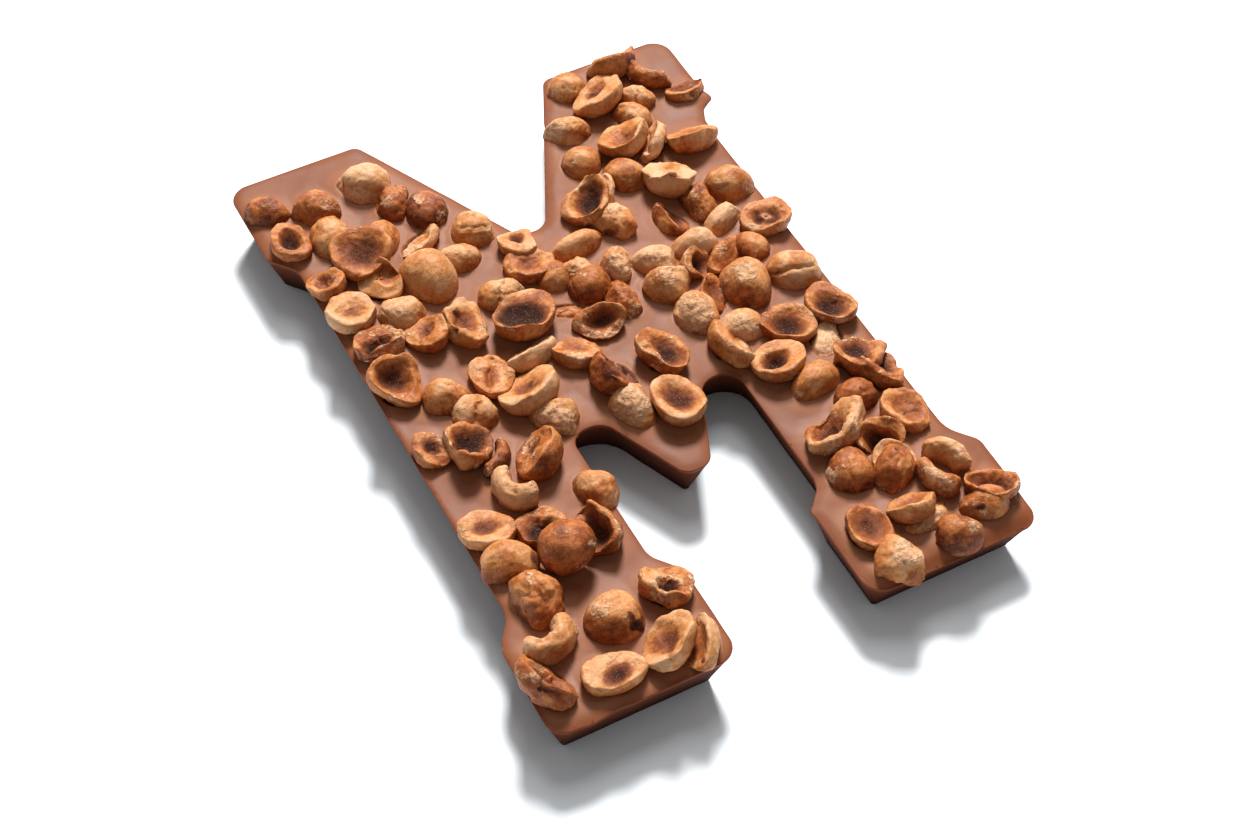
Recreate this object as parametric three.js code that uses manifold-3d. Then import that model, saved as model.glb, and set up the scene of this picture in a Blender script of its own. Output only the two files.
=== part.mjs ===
// A milk chocolate letter M, poured in a mould and set with roasted hazelnut halves.
// Millimetres, +Z up. It lies with the moulded face down on Z = 0 and the nuts up,
// X across the letter in reading direction and Y up the letter.
import * as THREE from 'three';
import { mergeVertices } from 'three/addons/utils/BufferGeometryUtils.js';
import Module from 'manifold-3d';

const wasm = await Module();
wasm.setup();

// Driving sizes of the letter
const LETTER_HEIGHT = 170;
const THICKNESS = 13;
const DRAFT = 4.5; // how far the sides draw in from the rim to the moulded face
const BASE_ROUND = 0.8; // worn edge round the moulded face
const FOOT_OUTER = 59.3; // half widths, from the centre line
const FOOT_INNER = 15.8;
const LEG_OUTER = 54.3;
const LEG_INNER = 20.8;
const SERIF_RISE = 24.5; // height of the foot slabs
const SERIF_SLOPE = 6.2; // height of the sloped shoulder of a slab
const NOTCH_HALF = 25.5; // V shaped notch in the head
const NOTCH_DEPTH = 44.5;
const NOTCH_FLOOR = 3.3;
const VEE_TIP = -39.2; // Y of the tip of the middle V
const VEE_TIP_HALF = 3.2;
const COUNTER_TOP = -18; // Y of the top of the gaps beside the V
const COUNTER_HALF = 12.55;
const LEAST_TIP_HALF = 0.6;
const ROUND = { // corner radii
  veeTip: 4,
  counterInner: 5,
  counterOuter: 4.5,
  footBracketInner: 6,
  footShoulderInner: 2.5,
  footInner: 5,
  footOuter: 4.5,
  footShoulderOuter: 4,
  footBracketOuter: 8,
  headBracket: 6,
  headShoulder: 1.5,
  headOuter: 5,
  notchEdge: 3,
  notchFloor: 4.5,
};
const LEAST_FILLET = 1;
const MOST_REACH = 0.48; // share of a straight that the rounding of one corner may take
const ARC_STEPS = 4;

// Driving sizes of the nuts
const CLEARANCE = 0.3; // between a nut and its seat, and between two nuts
const SEAT_SIDES = 7;
const NUT_SIDES = 8;
const DOME_RINGS = [[0.58, 0.85], [0.93, 0.42]]; // shares of the half breadth and the depth
const HOLLOW_LIP = [0.62, 0.1]; // shares of the half breadth and of the hollow's depth
const CURL_RINGS = 5;
const CURL_BREADTH = 0.27; // half the breadth of a curled strip by the shorter breadth
const CURL_HEIGHT = 1.5; // height of a curled strip by its breadth
const CURL_SPREAD = 30; // how much the sweep of one curl differs from another's, in degrees
const CURL_END = 0.35; // how thin a curled strip is at its ends
const MOST_NODES = 59;
const LEAST_SHARED = 0.05; // cubic millimetres that two nuts share where they touch
const MUCH_SHARED = 40;
const MERGE_WITHIN = 1e-4;
const CHOCOLATE_COLOR = 0x9c6b55;
const NUT_COLOR = 0xc98f57;

// How deep a nut of each form sits in the chocolate, how deep its body and its hollow are
// as shares of half its mean breadth, and how uneven its outline is. A curl and a bow are
// slivers that are bent round, by their sweep in degrees.
const FORMS = {
  dome: { sink: 1.4, body: 1.25, hollow: 0, uneven: 0.05 },
  lump: { sink: 1.4, body: 1.28, hollow: 0, uneven: 0.12 },
  half: { sink: 2.0, body: 0.95, hollow: 0.3, uneven: 0.06 },
  cup: { sink: 2.2, body: 1.05, hollow: 0.62, uneven: 0.12 },
  chip: { sink: 1.6, body: 0.62, hollow: 0.12, uneven: 0.08 },
  curl: { sink: 1.5, sweep: 185 },
  bow: { sink: 1.5, sweep: 95 },
};
const DOME_UP = 180;

// One row for each nut: X, Y, longer and shorter breadth of its cut face, tilt of that face
// from straight up, heading that it faces, form, and how far it is held up by a nut below.
// The longer breadth lies square to the heading. Angles are in degrees.
const LEFT_HEAD = [
  [-53.7, 73.4, 11, 8.8, DOME_UP, 60, 'dome'],
  [-43.1, 69, 12.8, 9.6, DOME_UP, 60, 'dome'],
  [-29.4, 70.8, 14.3, 11, DOME_UP, 75, 'dome'],
  [-52.7, 61.5, 11.2, 10.3, 8, 0, 'half'],
  [-43.5, 59.2, 11.6, 10.8, DOME_UP, 0, 'dome'],
  [-40.7, 48.6, 15.1, 13.3, 15, 200, 'half', 1.2],
  [-33, 53.4, 10.5, 9, DOME_UP, 330, 'dome'],
  [-26, 63.2, 10.7, 9, DOME_UP, 0, 'lump'],
  [-19.9, 56.6, 11.2, 11, DOME_UP, 0, 'dome'],
  [-50.9, 45.9, 9.2, 9, 25, 120, 'cup'],
  [-26.1, 48.2, 11.4, 7.8, 40, 125, 'chip'],
];
const LEFT_STEM = [
  [-48.9, 35, 12.6, 10.8, 10, 60, 'half'],
  [-39.8, 40.4, 11.2, 10.4, 30, 205, 'cup'],
  [-28.7, 36.8, 14.7, 13, DOME_UP, 0, 'dome', 1],
  [-38.9, 30.1, 10.9, 9.8, DOME_UP, 75, 'dome'],
  [-47.4, 24.2, 13.6, 9.5, 20, 100, 'cup'],
  [-36.8, 21.7, 11.2, 10.2, 20, 135, 'half'],
  [-27.1, 19.8, 14.4, 9.8, 20, 0, 'cup'],
  [-48.4, 10.8, 13, 12.6, 22, 300, 'cup'],
  [-40.5, 3.1, 11.2, 10.4, DOME_UP, 60, 'dome'],
  [-29.2, 3.2, 11.5, 11.3, 3, 0, 'half'],
  [-36.6, -3.7, 11, 10.4, DOME_UP, 60, 'dome'],
  [-42, -11.6, 12.5, 12, 25, 20, 'cup'],
  [-50.1, -8.9, 11.5, 7.8, 5, 0, 'half'],
  [-38.4, -17, 13, 7, 0, 315, 'bow'],
  [-31.2, -20.5, 13.8, 12.6, 50, 135, 'half'],
  [-38.6, -27.2, 13.2, 10.2, 0, 205, 'curl'],
  [-49, -33.9, 13, 9.5, 5, 75, 'half'],
  [-38.3, -38.1, 11.1, 10, 10, 90, 'half'],
  [-22.9, -34.8, 10.8, 9.8, DOME_UP, 0, 'dome'],
];
const LEFT_FOOT = [
  [-48.3, -43.2, 14.2, 9.6, DOME_UP, 65, 'dome'],
  [-36.4, -46.5, 12.4, 12.4, 130, 60, 'dome', 0.8],
  [-29.3, -44.9, 14.4, 9.8, 35, 165, 'cup'],
  [-47.3, -54.1, 13.4, 12.2, DOME_UP, 60, 'lump'],
  [-50.4, -64.9, 13.8, 10.2, 0, 285, 'curl'],
  [-53.8, -73.2, 13.6, 10.8, 55, 20, 'cup'],
  [-35.3, -65.8, 13.3, 12.3, DOME_UP, 0, 'dome'],
  [-21.7, -63.5, 11.2, 12, 25, 45, 'cup'],
  [-42, -77.9, 13.9, 10, 5, 90, 'half'],
  [-29.3, -76.8, 14.8, 11.7, 38, 135, 'half'],
  [-23.2, -79.5, 13, 8.5, 55, 150, 'half'],
];
const MIDDLE = [
  [-19.9, 39.6, 11, 8, DOME_UP, 70, 'dome'],
  [-12.9, 46, 11.2, 10.4, DOME_UP, 0, 'dome'],
  [-5.7, 37, 9.5, 8.8, 8, 60, 'half', 0.8],
  [-6.5, 29.5, 11.8, 10, 12, 90, 'half'],
  [-16.3, 24.6, 10.8, 9.9, DOME_UP, 90, 'lump'],
  [-15.1, 14.8, 15.1, 14.7, 16, 90, 'half', 1.2],
  [-3.9, 13.8, 10.4, 4.4, DOME_UP, 62, 'chip'],
  [-18.6, 6.4, 14.3, 7.8, 50, 100, 'half'],
  [-8.8, 1.6, 11.6, 9.2, 20, 60, 'half'],
  [-24.1, -4, 16, 12.6, 35, 110, 'half'],
  [-21.4, -12.7, 10.6, 10.6, DOME_UP, 70, 'lump'],
  [-3.8, -8.7, 13, 10.8, 50, 10, 'cup'],
  [-5, -17.8, 11.4, 10.5, DOME_UP, 0, 'lump'],
  [4.2, -22.4, 13.8, 12.5, 8, 30, 'half', 0.6],
  [8.1, -8.4, 13.2, 11.3, 16, 0, 'cup', 0.8],
  [-0.5, 5.9, 12, 9, 28, 235, 'cup'],
  [7.6, 10.4, 12, 8, DOME_UP, 20, 'lump'],
  [2.5, 22.7, 9.6, 8.4, DOME_UP, 90, 'lump'],
  [3.2, 17.9, 10.4, 10.1, DOME_UP, 75, 'dome', 0.8],
  [11.8, 21.2, 9.6, 8.2, DOME_UP, 20, 'lump'],
  [6.5, 30.3, 13.6, 7, DOME_UP, 95, 'dome'],
  [17.5, 33, 11.8, 10.2, DOME_UP, 0, 'lump'],
];
const RIGHT_HEAD = [
  [29, 78.2, 10.2, 9.6, DOME_UP, 60, 'dome'],
  [42.1, 81.3, 15, 10.8, 50, 95, 'half'],
  [33.2, 70.9, 15.5, 10.8, 28, 120, 'half', 1],
  [42.7, 67.6, 10.9, 7.5, DOME_UP, 45, 'dome'],
  [48.7, 72.8, 16, 8.2, 0, 215, 'bow'],
  [54.9, 65.1, 10.2, 7.3, 25, 90, 'cup'],
  [22.3, 64.8, 12, 8, DOME_UP, 65, 'dome'],
  [38.5, 62.4, 11.2, 7.8, DOME_UP, 45, 'dome'],
  [32, 55.7, 15.2, 11.1, 30, 110, 'half', 0.6],
  [37.5, 51.8, 14.3, 8.4, 60, 140, 'chip'],
  [47.4, 49.4, 13.2, 10.8, 40, 80, 'half'],
  [20, 53.6, 10.9, 9.8, DOME_UP, 60, 'dome'],
  [27, 45.2, 11.4, 10.4, DOME_UP, 60, 'dome'],
  [13.7, 40, 15.2, 10.7, 22, 150, 'cup', 0.6],
  [19.2, 42.5, 10, 8.4, 60, 160, 'chip'],
  [36.1, 39.2, 12.5, 14.5, 30, 60, 'half'],
];
const RIGHT_STEM = [
  [47.7, 31.4, 12.4, 10.8, DOME_UP, 60, 'dome'],
  [30.7, 27.6, 10.4, 7, 45, 0, 'cup'],
  [38.8, 28.9, 11, 9.5, DOME_UP, 0, 'lump'],
  [41.4, 22.4, 12.8, 6.8, DOME_UP, 120, 'dome'],
  [49.9, 17.3, 12.8, 11.4, 5, 90, 'half'],
  [20.5, 17.4, 12, 8.6, DOME_UP, 60, 'dome'],
  [31.6, 18.1, 12, 8.5, DOME_UP, 90, 'dome'],
  [19.2, 9.8, 13, 9.8, DOME_UP, 60, 'lump', 0.5],
  [28.7, 11.7, 9.7, 8, 40, 320, 'cup'],
  [36.1, 11.1, 11.8, 7, 35, 300, 'half'],
  [42.7, 11.5, 10.2, 8.2, DOME_UP, 40, 'dome'],
  [20.9, -0.8, 11.9, 10.8, DOME_UP, 0, 'dome'],
  [35.6, 1.5, 13.8, 12.3, DOME_UP, 0, 'dome', 0.6],
  [27.8, 2.5, 11.8, 7.2, 40, 330, 'chip'],
  [47.4, 0.2, 14.2, 10.4, DOME_UP, 75, 'dome'],
  [24.2, -12.8, 14.5, 10, 50, 10, 'half'],
  [28.6, -8.9, 11.4, 9.4, DOME_UP, 60, 'dome'],
  [37.5, -13.9, 12.7, 11.2, 5, 60, 'half'],
  [49.7, -12.8, 12.7, 11.4, 8, 45, 'half'],
  [29.7, -22.6, 13.4, 10.8, 12, 100, 'half', 0.8],
  [44.1, -20.2, 13.6, 7, DOME_UP, 140, 'chip'],
  [35, -30.5, 13.4, 8.8, DOME_UP, 110, 'dome'],
  [47.2, -28.8, 12.3, 12.2, 18, 45, 'cup'],
];
const RIGHT_FOOT = [
  [50, -34.6, 11, 9.8, 25, 20, 'cup'],
  [40.4, -38.2, 11.2, 8.8, DOME_UP, 70, 'dome'],
  [30.8, -44.6, 15.2, 10.3, 28, 120, 'cup', 0.6],
  [38.4, -51.7, 10.5, 10.2, 30, 225, 'cup'],
  [48.1, -47.1, 12, 10.8, 12, 0, 'half'],
  [28.4, -55.8, 12.1, 10.9, DOME_UP, 0, 'dome'],
  [37.1, -59.7, 11.8, 9.7, DOME_UP, 140, 'dome', 0.8],
  [48, -62.9, 15.2, 9.5, 0, 35, 'bow'],
  [44, -66.9, 15, 9, 0, 205, 'bow'],
  [23.7, -70.9, 13.6, 9, 5, 0, 'half'],
  [34.4, -69.7, 12, 9.9, 45, 90, 'half', 0.5],
  [36.8, -73.7, 13.6, 6.8, DOME_UP, 95, 'chip'],
  [53.5, -73.3, 11.4, 11.8, 22, 60, 'cup'],
  [49.6, -76.6, 12, 8.8, DOME_UP, 70, 'dome'],
  [24.8, -81.2, 10.8, 11.6, DOME_UP, 60, 'lump'],
  [40.1, -80.6, 11.8, 9.4, DOME_UP, 70, 'dome'],
];
const TUCKED_UNDER = [
  [-2.6, 24, 9.4, 8.6, DOME_UP, 0, 'dome'],
  [38.5, -57.3, 9.4, 8.9, 15, 242, 'half'],
];
const NUTS = [
  LEFT_HEAD, LEFT_STEM, LEFT_FOOT, MIDDLE, RIGHT_HEAD, RIGHT_STEM, RIGHT_FOOT, TUCKED_UNDER,
].flat();

// Seeded draws between 0 and 1, the same for each build
function drawsFrom(seed) {
  let state = (seed * 2654435761 + 12345) >>> 0;
  return () => {
    state = (Math.imul(state ^ (state >>> 15), 2246822519) + 374761393) >>> 0;
    return ((state ^ (state >>> 13)) >>> 0) / 4294967296;
  };
}

const radians = (degrees) => THREE.MathUtils.degToRad(degrees);

// Corners of the right half of the outline from the tip of the V round to the notch,
// as X, Y and corner radius
function rightHalfCorners() {
  const top = LETTER_HEIGHT / 2;
  const foot = -top;
  const shoulder = foot + SERIF_RISE;
  const bracket = shoulder + SERIF_SLOPE;
  return [
    [VEE_TIP_HALF, VEE_TIP, ROUND.veeTip],
    [COUNTER_HALF, COUNTER_TOP, ROUND.counterInner],
    [LEG_INNER, COUNTER_TOP, ROUND.counterOuter],
    [LEG_INNER, bracket, ROUND.footBracketInner],
    [FOOT_INNER, shoulder, ROUND.footShoulderInner],
    [FOOT_INNER, foot, ROUND.footInner],
    [FOOT_OUTER, foot, ROUND.footOuter],
    [FOOT_OUTER, shoulder, ROUND.footShoulderOuter],
    [LEG_OUTER, bracket, ROUND.footBracketOuter],
    [LEG_OUTER, -bracket, ROUND.headBracket],
    [FOOT_OUTER, -shoulder, ROUND.headShoulder],
    [FOOT_OUTER, top, ROUND.headOuter],
    [NOTCH_HALF, top, ROUND.notchEdge],
    [NOTCH_FLOOR, top - NOTCH_DEPTH, ROUND.notchFloor],
  ];
}

// The closed outline, drawn in by a given amount: every straight is moved square to itself
// and every corner is rounded by an arc, smaller outside and larger inside
function outlineAt(inset) {
  const half = rightHalfCorners();
  const mirrored = half.map(([x, y, r]) => [-x, y, r]).reverse();
  const corners = [...half, ...mirrored];
  const count = corners.length;
  const points = corners.map(([x, y]) => new THREE.Vector2(x, y));
  const along = points.map((p, i) => points[(i + 1) % count].clone().sub(p).normalize());
  const moved = points.map((p, i) => {
    const before = along[(i + count - 1) % count];
    const after = along[i];
    const turn = before.cross(after);
    const shift = new THREE.Vector2()
      .subVectors(before, after)
      .multiplyScalar(-inset / turn);
    const q = p.clone().add(shift);
    if (corners[i][1] === VEE_TIP) {
      q.x = Math.sign(p.x) * Math.max(Math.abs(q.x), LEAST_TIP_HALF);
    }
    return q;
  });
  return moved.flatMap((corner, i) => {
    const back = moved[(i + count - 1) % count].clone().sub(corner);
    const ahead = moved[(i + 1) % count].clone().sub(corner);
    const room = MOST_REACH * Math.min(back.length(), ahead.length());
    back.normalize();
    ahead.normalize();
    const convex = ahead.cross(back) > 0;
    const wanted = Math.max(corners[i][2] + (convex ? -inset : inset), LEAST_FILLET);
    const halfAngle = Math.acos(THREE.MathUtils.clamp(back.dot(ahead), -1, 1)) / 2;
    const reach = Math.min(wanted / Math.tan(halfAngle), room);
    const radius = reach * Math.tan(halfAngle);
    const toCentre = back.clone().add(ahead).normalize();
    const centre = corner.clone().addScaledVector(toCentre, radius / Math.sin(halfAngle));
    const start = corner.clone().addScaledVector(back, reach).sub(centre);
    const sweep = (convex ? 1 : -1) * (Math.PI - 2 * halfAngle);
    return Array.from({ length: ARC_STEPS + 1 }, (_, k) => (
      start.clone().rotateAround(new THREE.Vector2(), (sweep * k) / ARC_STEPS).add(centre)
    ));
  });
}

// Closed body through a stack of outlines, each with as many points as the next
function loft(levels) {
  const count = levels[0].points.length;
  const positions = levels.flatMap(({ z, points }) => points.flatMap((p) => [p.x, p.y, z]));
  const faces = [];
  for (let level = 0; level < levels.length - 1; level += 1) {
    for (let i = 0; i < count; i += 1) {
      const a = level * count + i;
      const b = level * count + ((i + 1) % count);
      faces.push(a, b, b + count, a, b + count, a + count);
    }
  }
  const last = (levels.length - 1) * count;
  THREE.ShapeUtils.triangulateShape(levels[0].points, [])
    .forEach(([a, b, c]) => faces.push(a, c, b));
  THREE.ShapeUtils.triangulateShape(levels.at(-1).points, [])
    .forEach(([a, b, c]) => faces.push(last + a, last + b, last + c));
  const geometry = new THREE.BufferGeometry();
  geometry.setAttribute('position', new THREE.Float32BufferAttribute(positions, 3));
  geometry.setIndex(faces);
  return geometry;
}

function toSolid(geometry) {
  geometry.deleteAttribute('normal');
  geometry.deleteAttribute('uv');
  const merged = mergeVertices(geometry, MERGE_WITHIN);
  const faces = [];
  for (let i = 0; i < merged.index.count; i += 3) {
    const [a, b, c] = merged.index.array.slice(i, i + 3);
    if (a !== b && b !== c && c !== a) {
      faces.push(a, b, c);
    }
  }
  return new wasm.Manifold(new wasm.Mesh({
    numProp: 3,
    vertProperties: new Float32Array(merged.attributes.position.array),
    triVerts: new Uint32Array(faces),
  }));
}

function toGeometry(solid) {
  const mesh = solid.getMesh();
  const geometry = new THREE.BufferGeometry();
  geometry.setAttribute('position', new THREE.BufferAttribute(mesh.vertProperties, 3));
  geometry.setIndex(new THREE.BufferAttribute(mesh.triVerts, 1));
  return geometry;
}

// Everything below a height
function allBelow(height) {
  const side = 2 * LETTER_HEIGHT;
  return toSolid(new THREE.BoxGeometry(side, side, side).translate(0, 0, height - side / 2));
}

// The largest of the pieces that a cut leaves
function largestPiece(solid) {
  return solid.decompose().reduce((a, b) => (a.volume() >= b.volume() ? a : b));
}

// Half a nut about its own axis: a round body under the cut face, which has a hollow in it.
// X is the longer breadth, Z is square to the cut face, and the outline waves a little.
// A nut that lies dome up is turned over. With grow it is the room that the nut needs, which
// has no hollow.
function halfNut(row, draws, grow) {
  const [, , long, short, tilt, , form] = row;
  const { body, hollow, uneven } = FORMS[form];
  const mean = (long + short) / 4;
  const depth = mean * body + grow;
  const profile = [[0, -depth], ...DOME_RINGS.map(([r, share]) => [r, -share * depth]), [1, 0]];
  if (grow > 0) {
    profile.push([1, grow], [0, grow]);
  } else if (hollow > 0) {
    profile.push([HOLLOW_LIP[0], -HOLLOW_LIP[1] * mean * hollow], [0, -mean * hollow]);
  } else {
    profile.push([0, 0]);
  }
  const nut = new THREE.LatheGeometry(
    profile.map(([r, z]) => new THREE.Vector2(r, z)),
    NUT_SIDES,
  ).rotateX(Math.PI / 2);
  const phases = [draws() * 2 * Math.PI, draws() * 2 * Math.PI];
  const place = nut.attributes.position;
  for (let i = 0; i < place.count; i += 1) {
    const angle = Math.atan2(place.getY(i), place.getX(i));
    const wave = 1
      + uneven * Math.sin(2 * angle + phases[0])
      + 0.7 * uneven * Math.sin(3 * angle + phases[1]);
    place.setX(i, place.getX(i) * (wave * long / 2 + grow));
    place.setY(i, place.getY(i) * (wave * short / 2 + grow));
  }
  return tilt === DOME_UP ? nut.rotateX(Math.PI) : nut;
}

// A curled sliver: a thick strip bent round in an arc, with tapered ends. Its back faces +Y,
// and the longer breadth lies across it.
function curledSliver(row, draws, grow) {
  const [, , long, short, , , form] = row;
  const sweep = radians(FORMS[form].sweep + CURL_SPREAD * draws());
  const breadth = CURL_BREADTH * short;
  const radius = (long / 2 - breadth) / Math.sin(Math.min(sweep, Math.PI) / 2);
  const middle = (radius * (1 + Math.cos(sweep / 2))) / 2;
  const positions = [];
  const faces = [];
  for (let ring = 0; ring <= CURL_RINGS; ring += 1) {
    const along = (2 * ring) / CURL_RINGS - 1;
    const angle = (along * sweep) / 2 + Math.sign(along) * (grow / radius);
    const taper = CURL_END + (1 - CURL_END) * Math.sqrt(1 - along ** 4);
    for (let side = 0; side < NUT_SIDES; side += 1) {
      const round = (side / NUT_SIDES) * 2 * Math.PI;
      const out = radius + (breadth * taper + grow) * Math.cos(round);
      const up = (CURL_HEIGHT * breadth * taper + grow) * Math.sin(round);
      positions.push(out * Math.sin(angle), out * Math.cos(angle) - middle, up);
    }
  }
  for (let ring = 0; ring < CURL_RINGS; ring += 1) {
    for (let side = 0; side < NUT_SIDES; side += 1) {
      const a = ring * NUT_SIDES + side;
      const b = ring * NUT_SIDES + ((side + 1) % NUT_SIDES);
      faces.push(a, b, b + NUT_SIDES, a, b + NUT_SIDES, a + NUT_SIDES);
    }
  }
  const end = CURL_RINGS * NUT_SIDES;
  for (let side = 1; side < NUT_SIDES - 1; side += 1) {
    faces.push(0, side + 1, side, end, end + side, end + side + 1);
  }
  const geometry = new THREE.BufferGeometry();
  geometry.setAttribute('position', new THREE.Float32BufferAttribute(positions, 3));
  geometry.setIndex(faces);
  return geometry;
}

// The well under a nut: its walls and its floor just touch the room that the nut
// needs below the chocolate's surface
function seatUnder(room, heading) {
  const sunk = room.intersect(allBelow(THICKNESS)).getMesh().vertProperties;
  const points = [];
  for (let i = 0; i < sunk.length; i += 3) {
    points.push(new THREE.Vector3(...sunk.slice(i, i + 3)));
  }
  const walls = Array.from({ length: SEAT_SIDES }, (_, k) => {
    const angle = radians(heading) + (2 * Math.PI * k) / SEAT_SIDES;
    const out = new THREE.Vector3(Math.cos(angle), Math.sin(angle), 0);
    return { out, reach: Math.max(...points.map((p) => p.dot(out))) };
  });
  const corners = walls.map((a, k) => {
    const b = walls[(k + 1) % SEAT_SIDES];
    const turn = a.out.x * b.out.y - a.out.y * b.out.x;
    return new THREE.Vector2(
      (a.reach * b.out.y - b.reach * a.out.y) / turn,
      (b.reach * a.out.x - a.reach * b.out.x) / turn,
    );
  });
  const floor = Math.min(...points.map((p) => p.z));
  return toSolid(loft([{ z: floor, points: corners }, { z: 2 * THICKNESS, points: corners }]));
}

// A nut where it lies, with the room that it needs and its seat: turned, tilted and let down
// until it is sunk in the chocolate
function placeNut(row, number) {
  const [x, y, , , tilt, heading, form, lift = 0] = row;
  const make = FORMS[form].sweep ? curledSliver : halfNut;
  const pose = new THREE.Matrix4()
    .makeRotationZ(radians(heading - 90))
    .multiply(new THREE.Matrix4().makeRotationX(tilt === DOME_UP ? 0 : -radians(tilt)));
  const nut = make(row, drawsFrom(number), 0).applyMatrix4(pose);
  nut.computeBoundingBox();
  const z = THICKNESS - FORMS[form].sink + lift - nut.boundingBox.min.z;
  const room = toSolid(
    make(row, drawsFrom(number), CLEARANCE).applyMatrix4(pose).translate(x, y, z),
  );
  return {
    number,
    lift,
    solid: toSolid(nut.translate(x, y, z)),
    room,
    seat: seatUnder(room, heading),
  };
}

// Nuts that are pressed into each other are one piece, the most pressed first, until few
// enough pieces are left. Returns lists of nuts.
function gatherNuts(nuts) {
  const pairs = [];
  nuts.forEach((a, i) => nuts.slice(i + 1).forEach((b) => {
    const shared = a.solid.intersect(b.solid).volume();
    if (shared > LEAST_SHARED) {
      pairs.push({ a, b, shared });
    }
  }));
  pairs.sort((p, q) => q.shared - p.shared);
  const groupOf = new Map(nuts.map((nut) => [nut, [nut]]));
  let left = nuts.length;
  pairs.forEach(({ a, b, shared }) => {
    const [first, second] = [groupOf.get(a), groupOf.get(b)];
    if (first !== second && (left > MOST_NODES || shared > MUCH_SHARED)) {
      first.push(...second);
      second.forEach((nut) => groupOf.set(nut, first));
      left -= 1;
    }
  });
  return [...new Set(groupOf.values())];
}

const union = (solids) => solids.reduce((a, b) => a.add(b));

const nuts = NUTS.map((row, i) => placeNut(row, i + 1));
const highest = (group) => Math.max(...group.map((nut) => nut.lift));
const groups = gatherNuts(nuts).sort((a, b) => highest(b) - highest(a));

// The nuts that lie highest keep their form, and the others give way to them
const pieces = [];
groups.forEach((group) => {
  let solid = union(group.map((nut) => nut.solid));
  pieces.flatMap((piece) => piece.group).forEach((other) => {
    solid = solid.subtract(other.room);
  });
  pieces.push({ group, solid: largestPiece(solid) });
});

// Past the most pieces, the smallest nuts are one with the chocolate
pieces.sort((a, b) => b.solid.volume() - a.solid.volume());
const fast = pieces.splice(MOST_NODES);
pieces.sort((a, b) => a.group[0].number - b.group[0].number);

const slabLevels = [
  { z: 0, points: outlineAt(DRAFT + BASE_ROUND) },
  { z: BASE_ROUND, points: outlineAt(DRAFT * (1 - BASE_ROUND / THICKNESS)) },
  { z: THICKNESS, points: outlineAt(0) },
];
const seats = union(pieces.flatMap((piece) => piece.group).map((nut) => nut.seat));
const slab = largestPiece(union([
  toSolid(loft(slabLevels)).subtract(seats),
  ...fast.map((piece) => piece.solid),
]));

const chocolate = new THREE.MeshStandardMaterial({
  color: CHOCOLATE_COLOR, roughness: 0.42, metalness: 0,
});
const hazelnut = new THREE.MeshStandardMaterial({
  color: NUT_COLOR, roughness: 0.6, metalness: 0,
});

const letter = new THREE.Group();
const slabMesh = new THREE.Mesh(toGeometry(slab), chocolate);
slabMesh.name = 'chocolate_letter';
letter.add(slabMesh);
pieces.forEach(({ solid }, i) => {
  const mesh = new THREE.Mesh(toGeometry(solid), hazelnut);
  mesh.name = `hazelnuts_${String(i + 1).padStart(2, '0')}`;
  letter.add(mesh);
});

export default letter;
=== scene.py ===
"""A milk chocolate letter M, poured in a mould and set with roasted hazelnut halves.

It is worked out in millimetres, +Z up, lying with the moulded face down on Z = 0, and put
into Blender in metres.
"""
import math

import bpy
import numpy as np
from mathutils import Color, Euler, Matrix, Vector
from mathutils.geometry import delaunay_2d_cdt


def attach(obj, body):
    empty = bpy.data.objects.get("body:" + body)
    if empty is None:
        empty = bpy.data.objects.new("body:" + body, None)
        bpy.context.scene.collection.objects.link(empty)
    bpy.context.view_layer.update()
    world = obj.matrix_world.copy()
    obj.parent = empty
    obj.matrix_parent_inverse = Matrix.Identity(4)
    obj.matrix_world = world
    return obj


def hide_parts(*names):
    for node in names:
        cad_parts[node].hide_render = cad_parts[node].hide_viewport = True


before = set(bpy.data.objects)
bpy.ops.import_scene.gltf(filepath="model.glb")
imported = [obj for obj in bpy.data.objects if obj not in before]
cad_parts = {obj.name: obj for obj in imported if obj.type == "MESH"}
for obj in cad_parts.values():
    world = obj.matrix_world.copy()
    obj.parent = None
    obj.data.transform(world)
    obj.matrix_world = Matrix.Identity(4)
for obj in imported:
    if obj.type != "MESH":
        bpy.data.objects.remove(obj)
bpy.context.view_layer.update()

MM = 0.001

# The camera: where it stands, and its axes to the right, up and back, in millimetres
EYE = np.array([-170.844, -302.713, 423.497])
RIGHT = np.array([0.87878068, -0.47666828, 0.02306214])
UP = np.array([0.36065745, 0.69499862, 0.62201537])
BACK = np.array([-0.31252315, -0.53829756, 0.78266533])
PICTURE = np.stack([RIGHT, UP], 1)
FOCAL_LENGTH = 67.72
SENSOR_WIDTH = 36

# The floor in millimetres
FLOOR_HALF = 3000
FLOOR_DROP = 0.05

# The lamps in degrees and metres: name, elevation, breadth and watts
LAMP_AZIMUTH = 62
LAMP_DISTANCE = 2.6
LAMPS = [("main_light", 47.5, 0.55, 127), ("high_light", 66, 0.9, 14)]

# The letter
THICKNESS = 13
DRAFT = 4.5
BASE_ROUND = 1.6
LIP_ROUND = 0.4
SHOULDER = -60.5
BRACKET = -54.3
VEE_TIP = -39.2
LEAST_TIP_HALF = 0.6
LEAST_FILLET = 1
MOST_REACH = 0.48
ARC_STEPS = 14
STRAIGHT_STEP = 1.2
TOP_STEP = 0.52

# Corners of the right half of the outline from the tip of the V round to the notch: X, Y
# and corner radius
HALF_CORNERS = [
    (3.2, VEE_TIP, 4), (12.55, -18, 5), (20.8, -18, 4.5), (20.8, BRACKET, 6),
    (15.8, SHOULDER, 2.5), (15.8, -85, 5), (59.3, -85, 4.5), (59.3, SHOULDER, 4),
    (54.3, BRACKET, 8), (54.3, -BRACKET, 6), (59.3, -SHOULDER, 1.5), (59.3, 85, 5),
    (25.5, 85, 3), (3.3, 40.5, 4.5),
]

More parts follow.
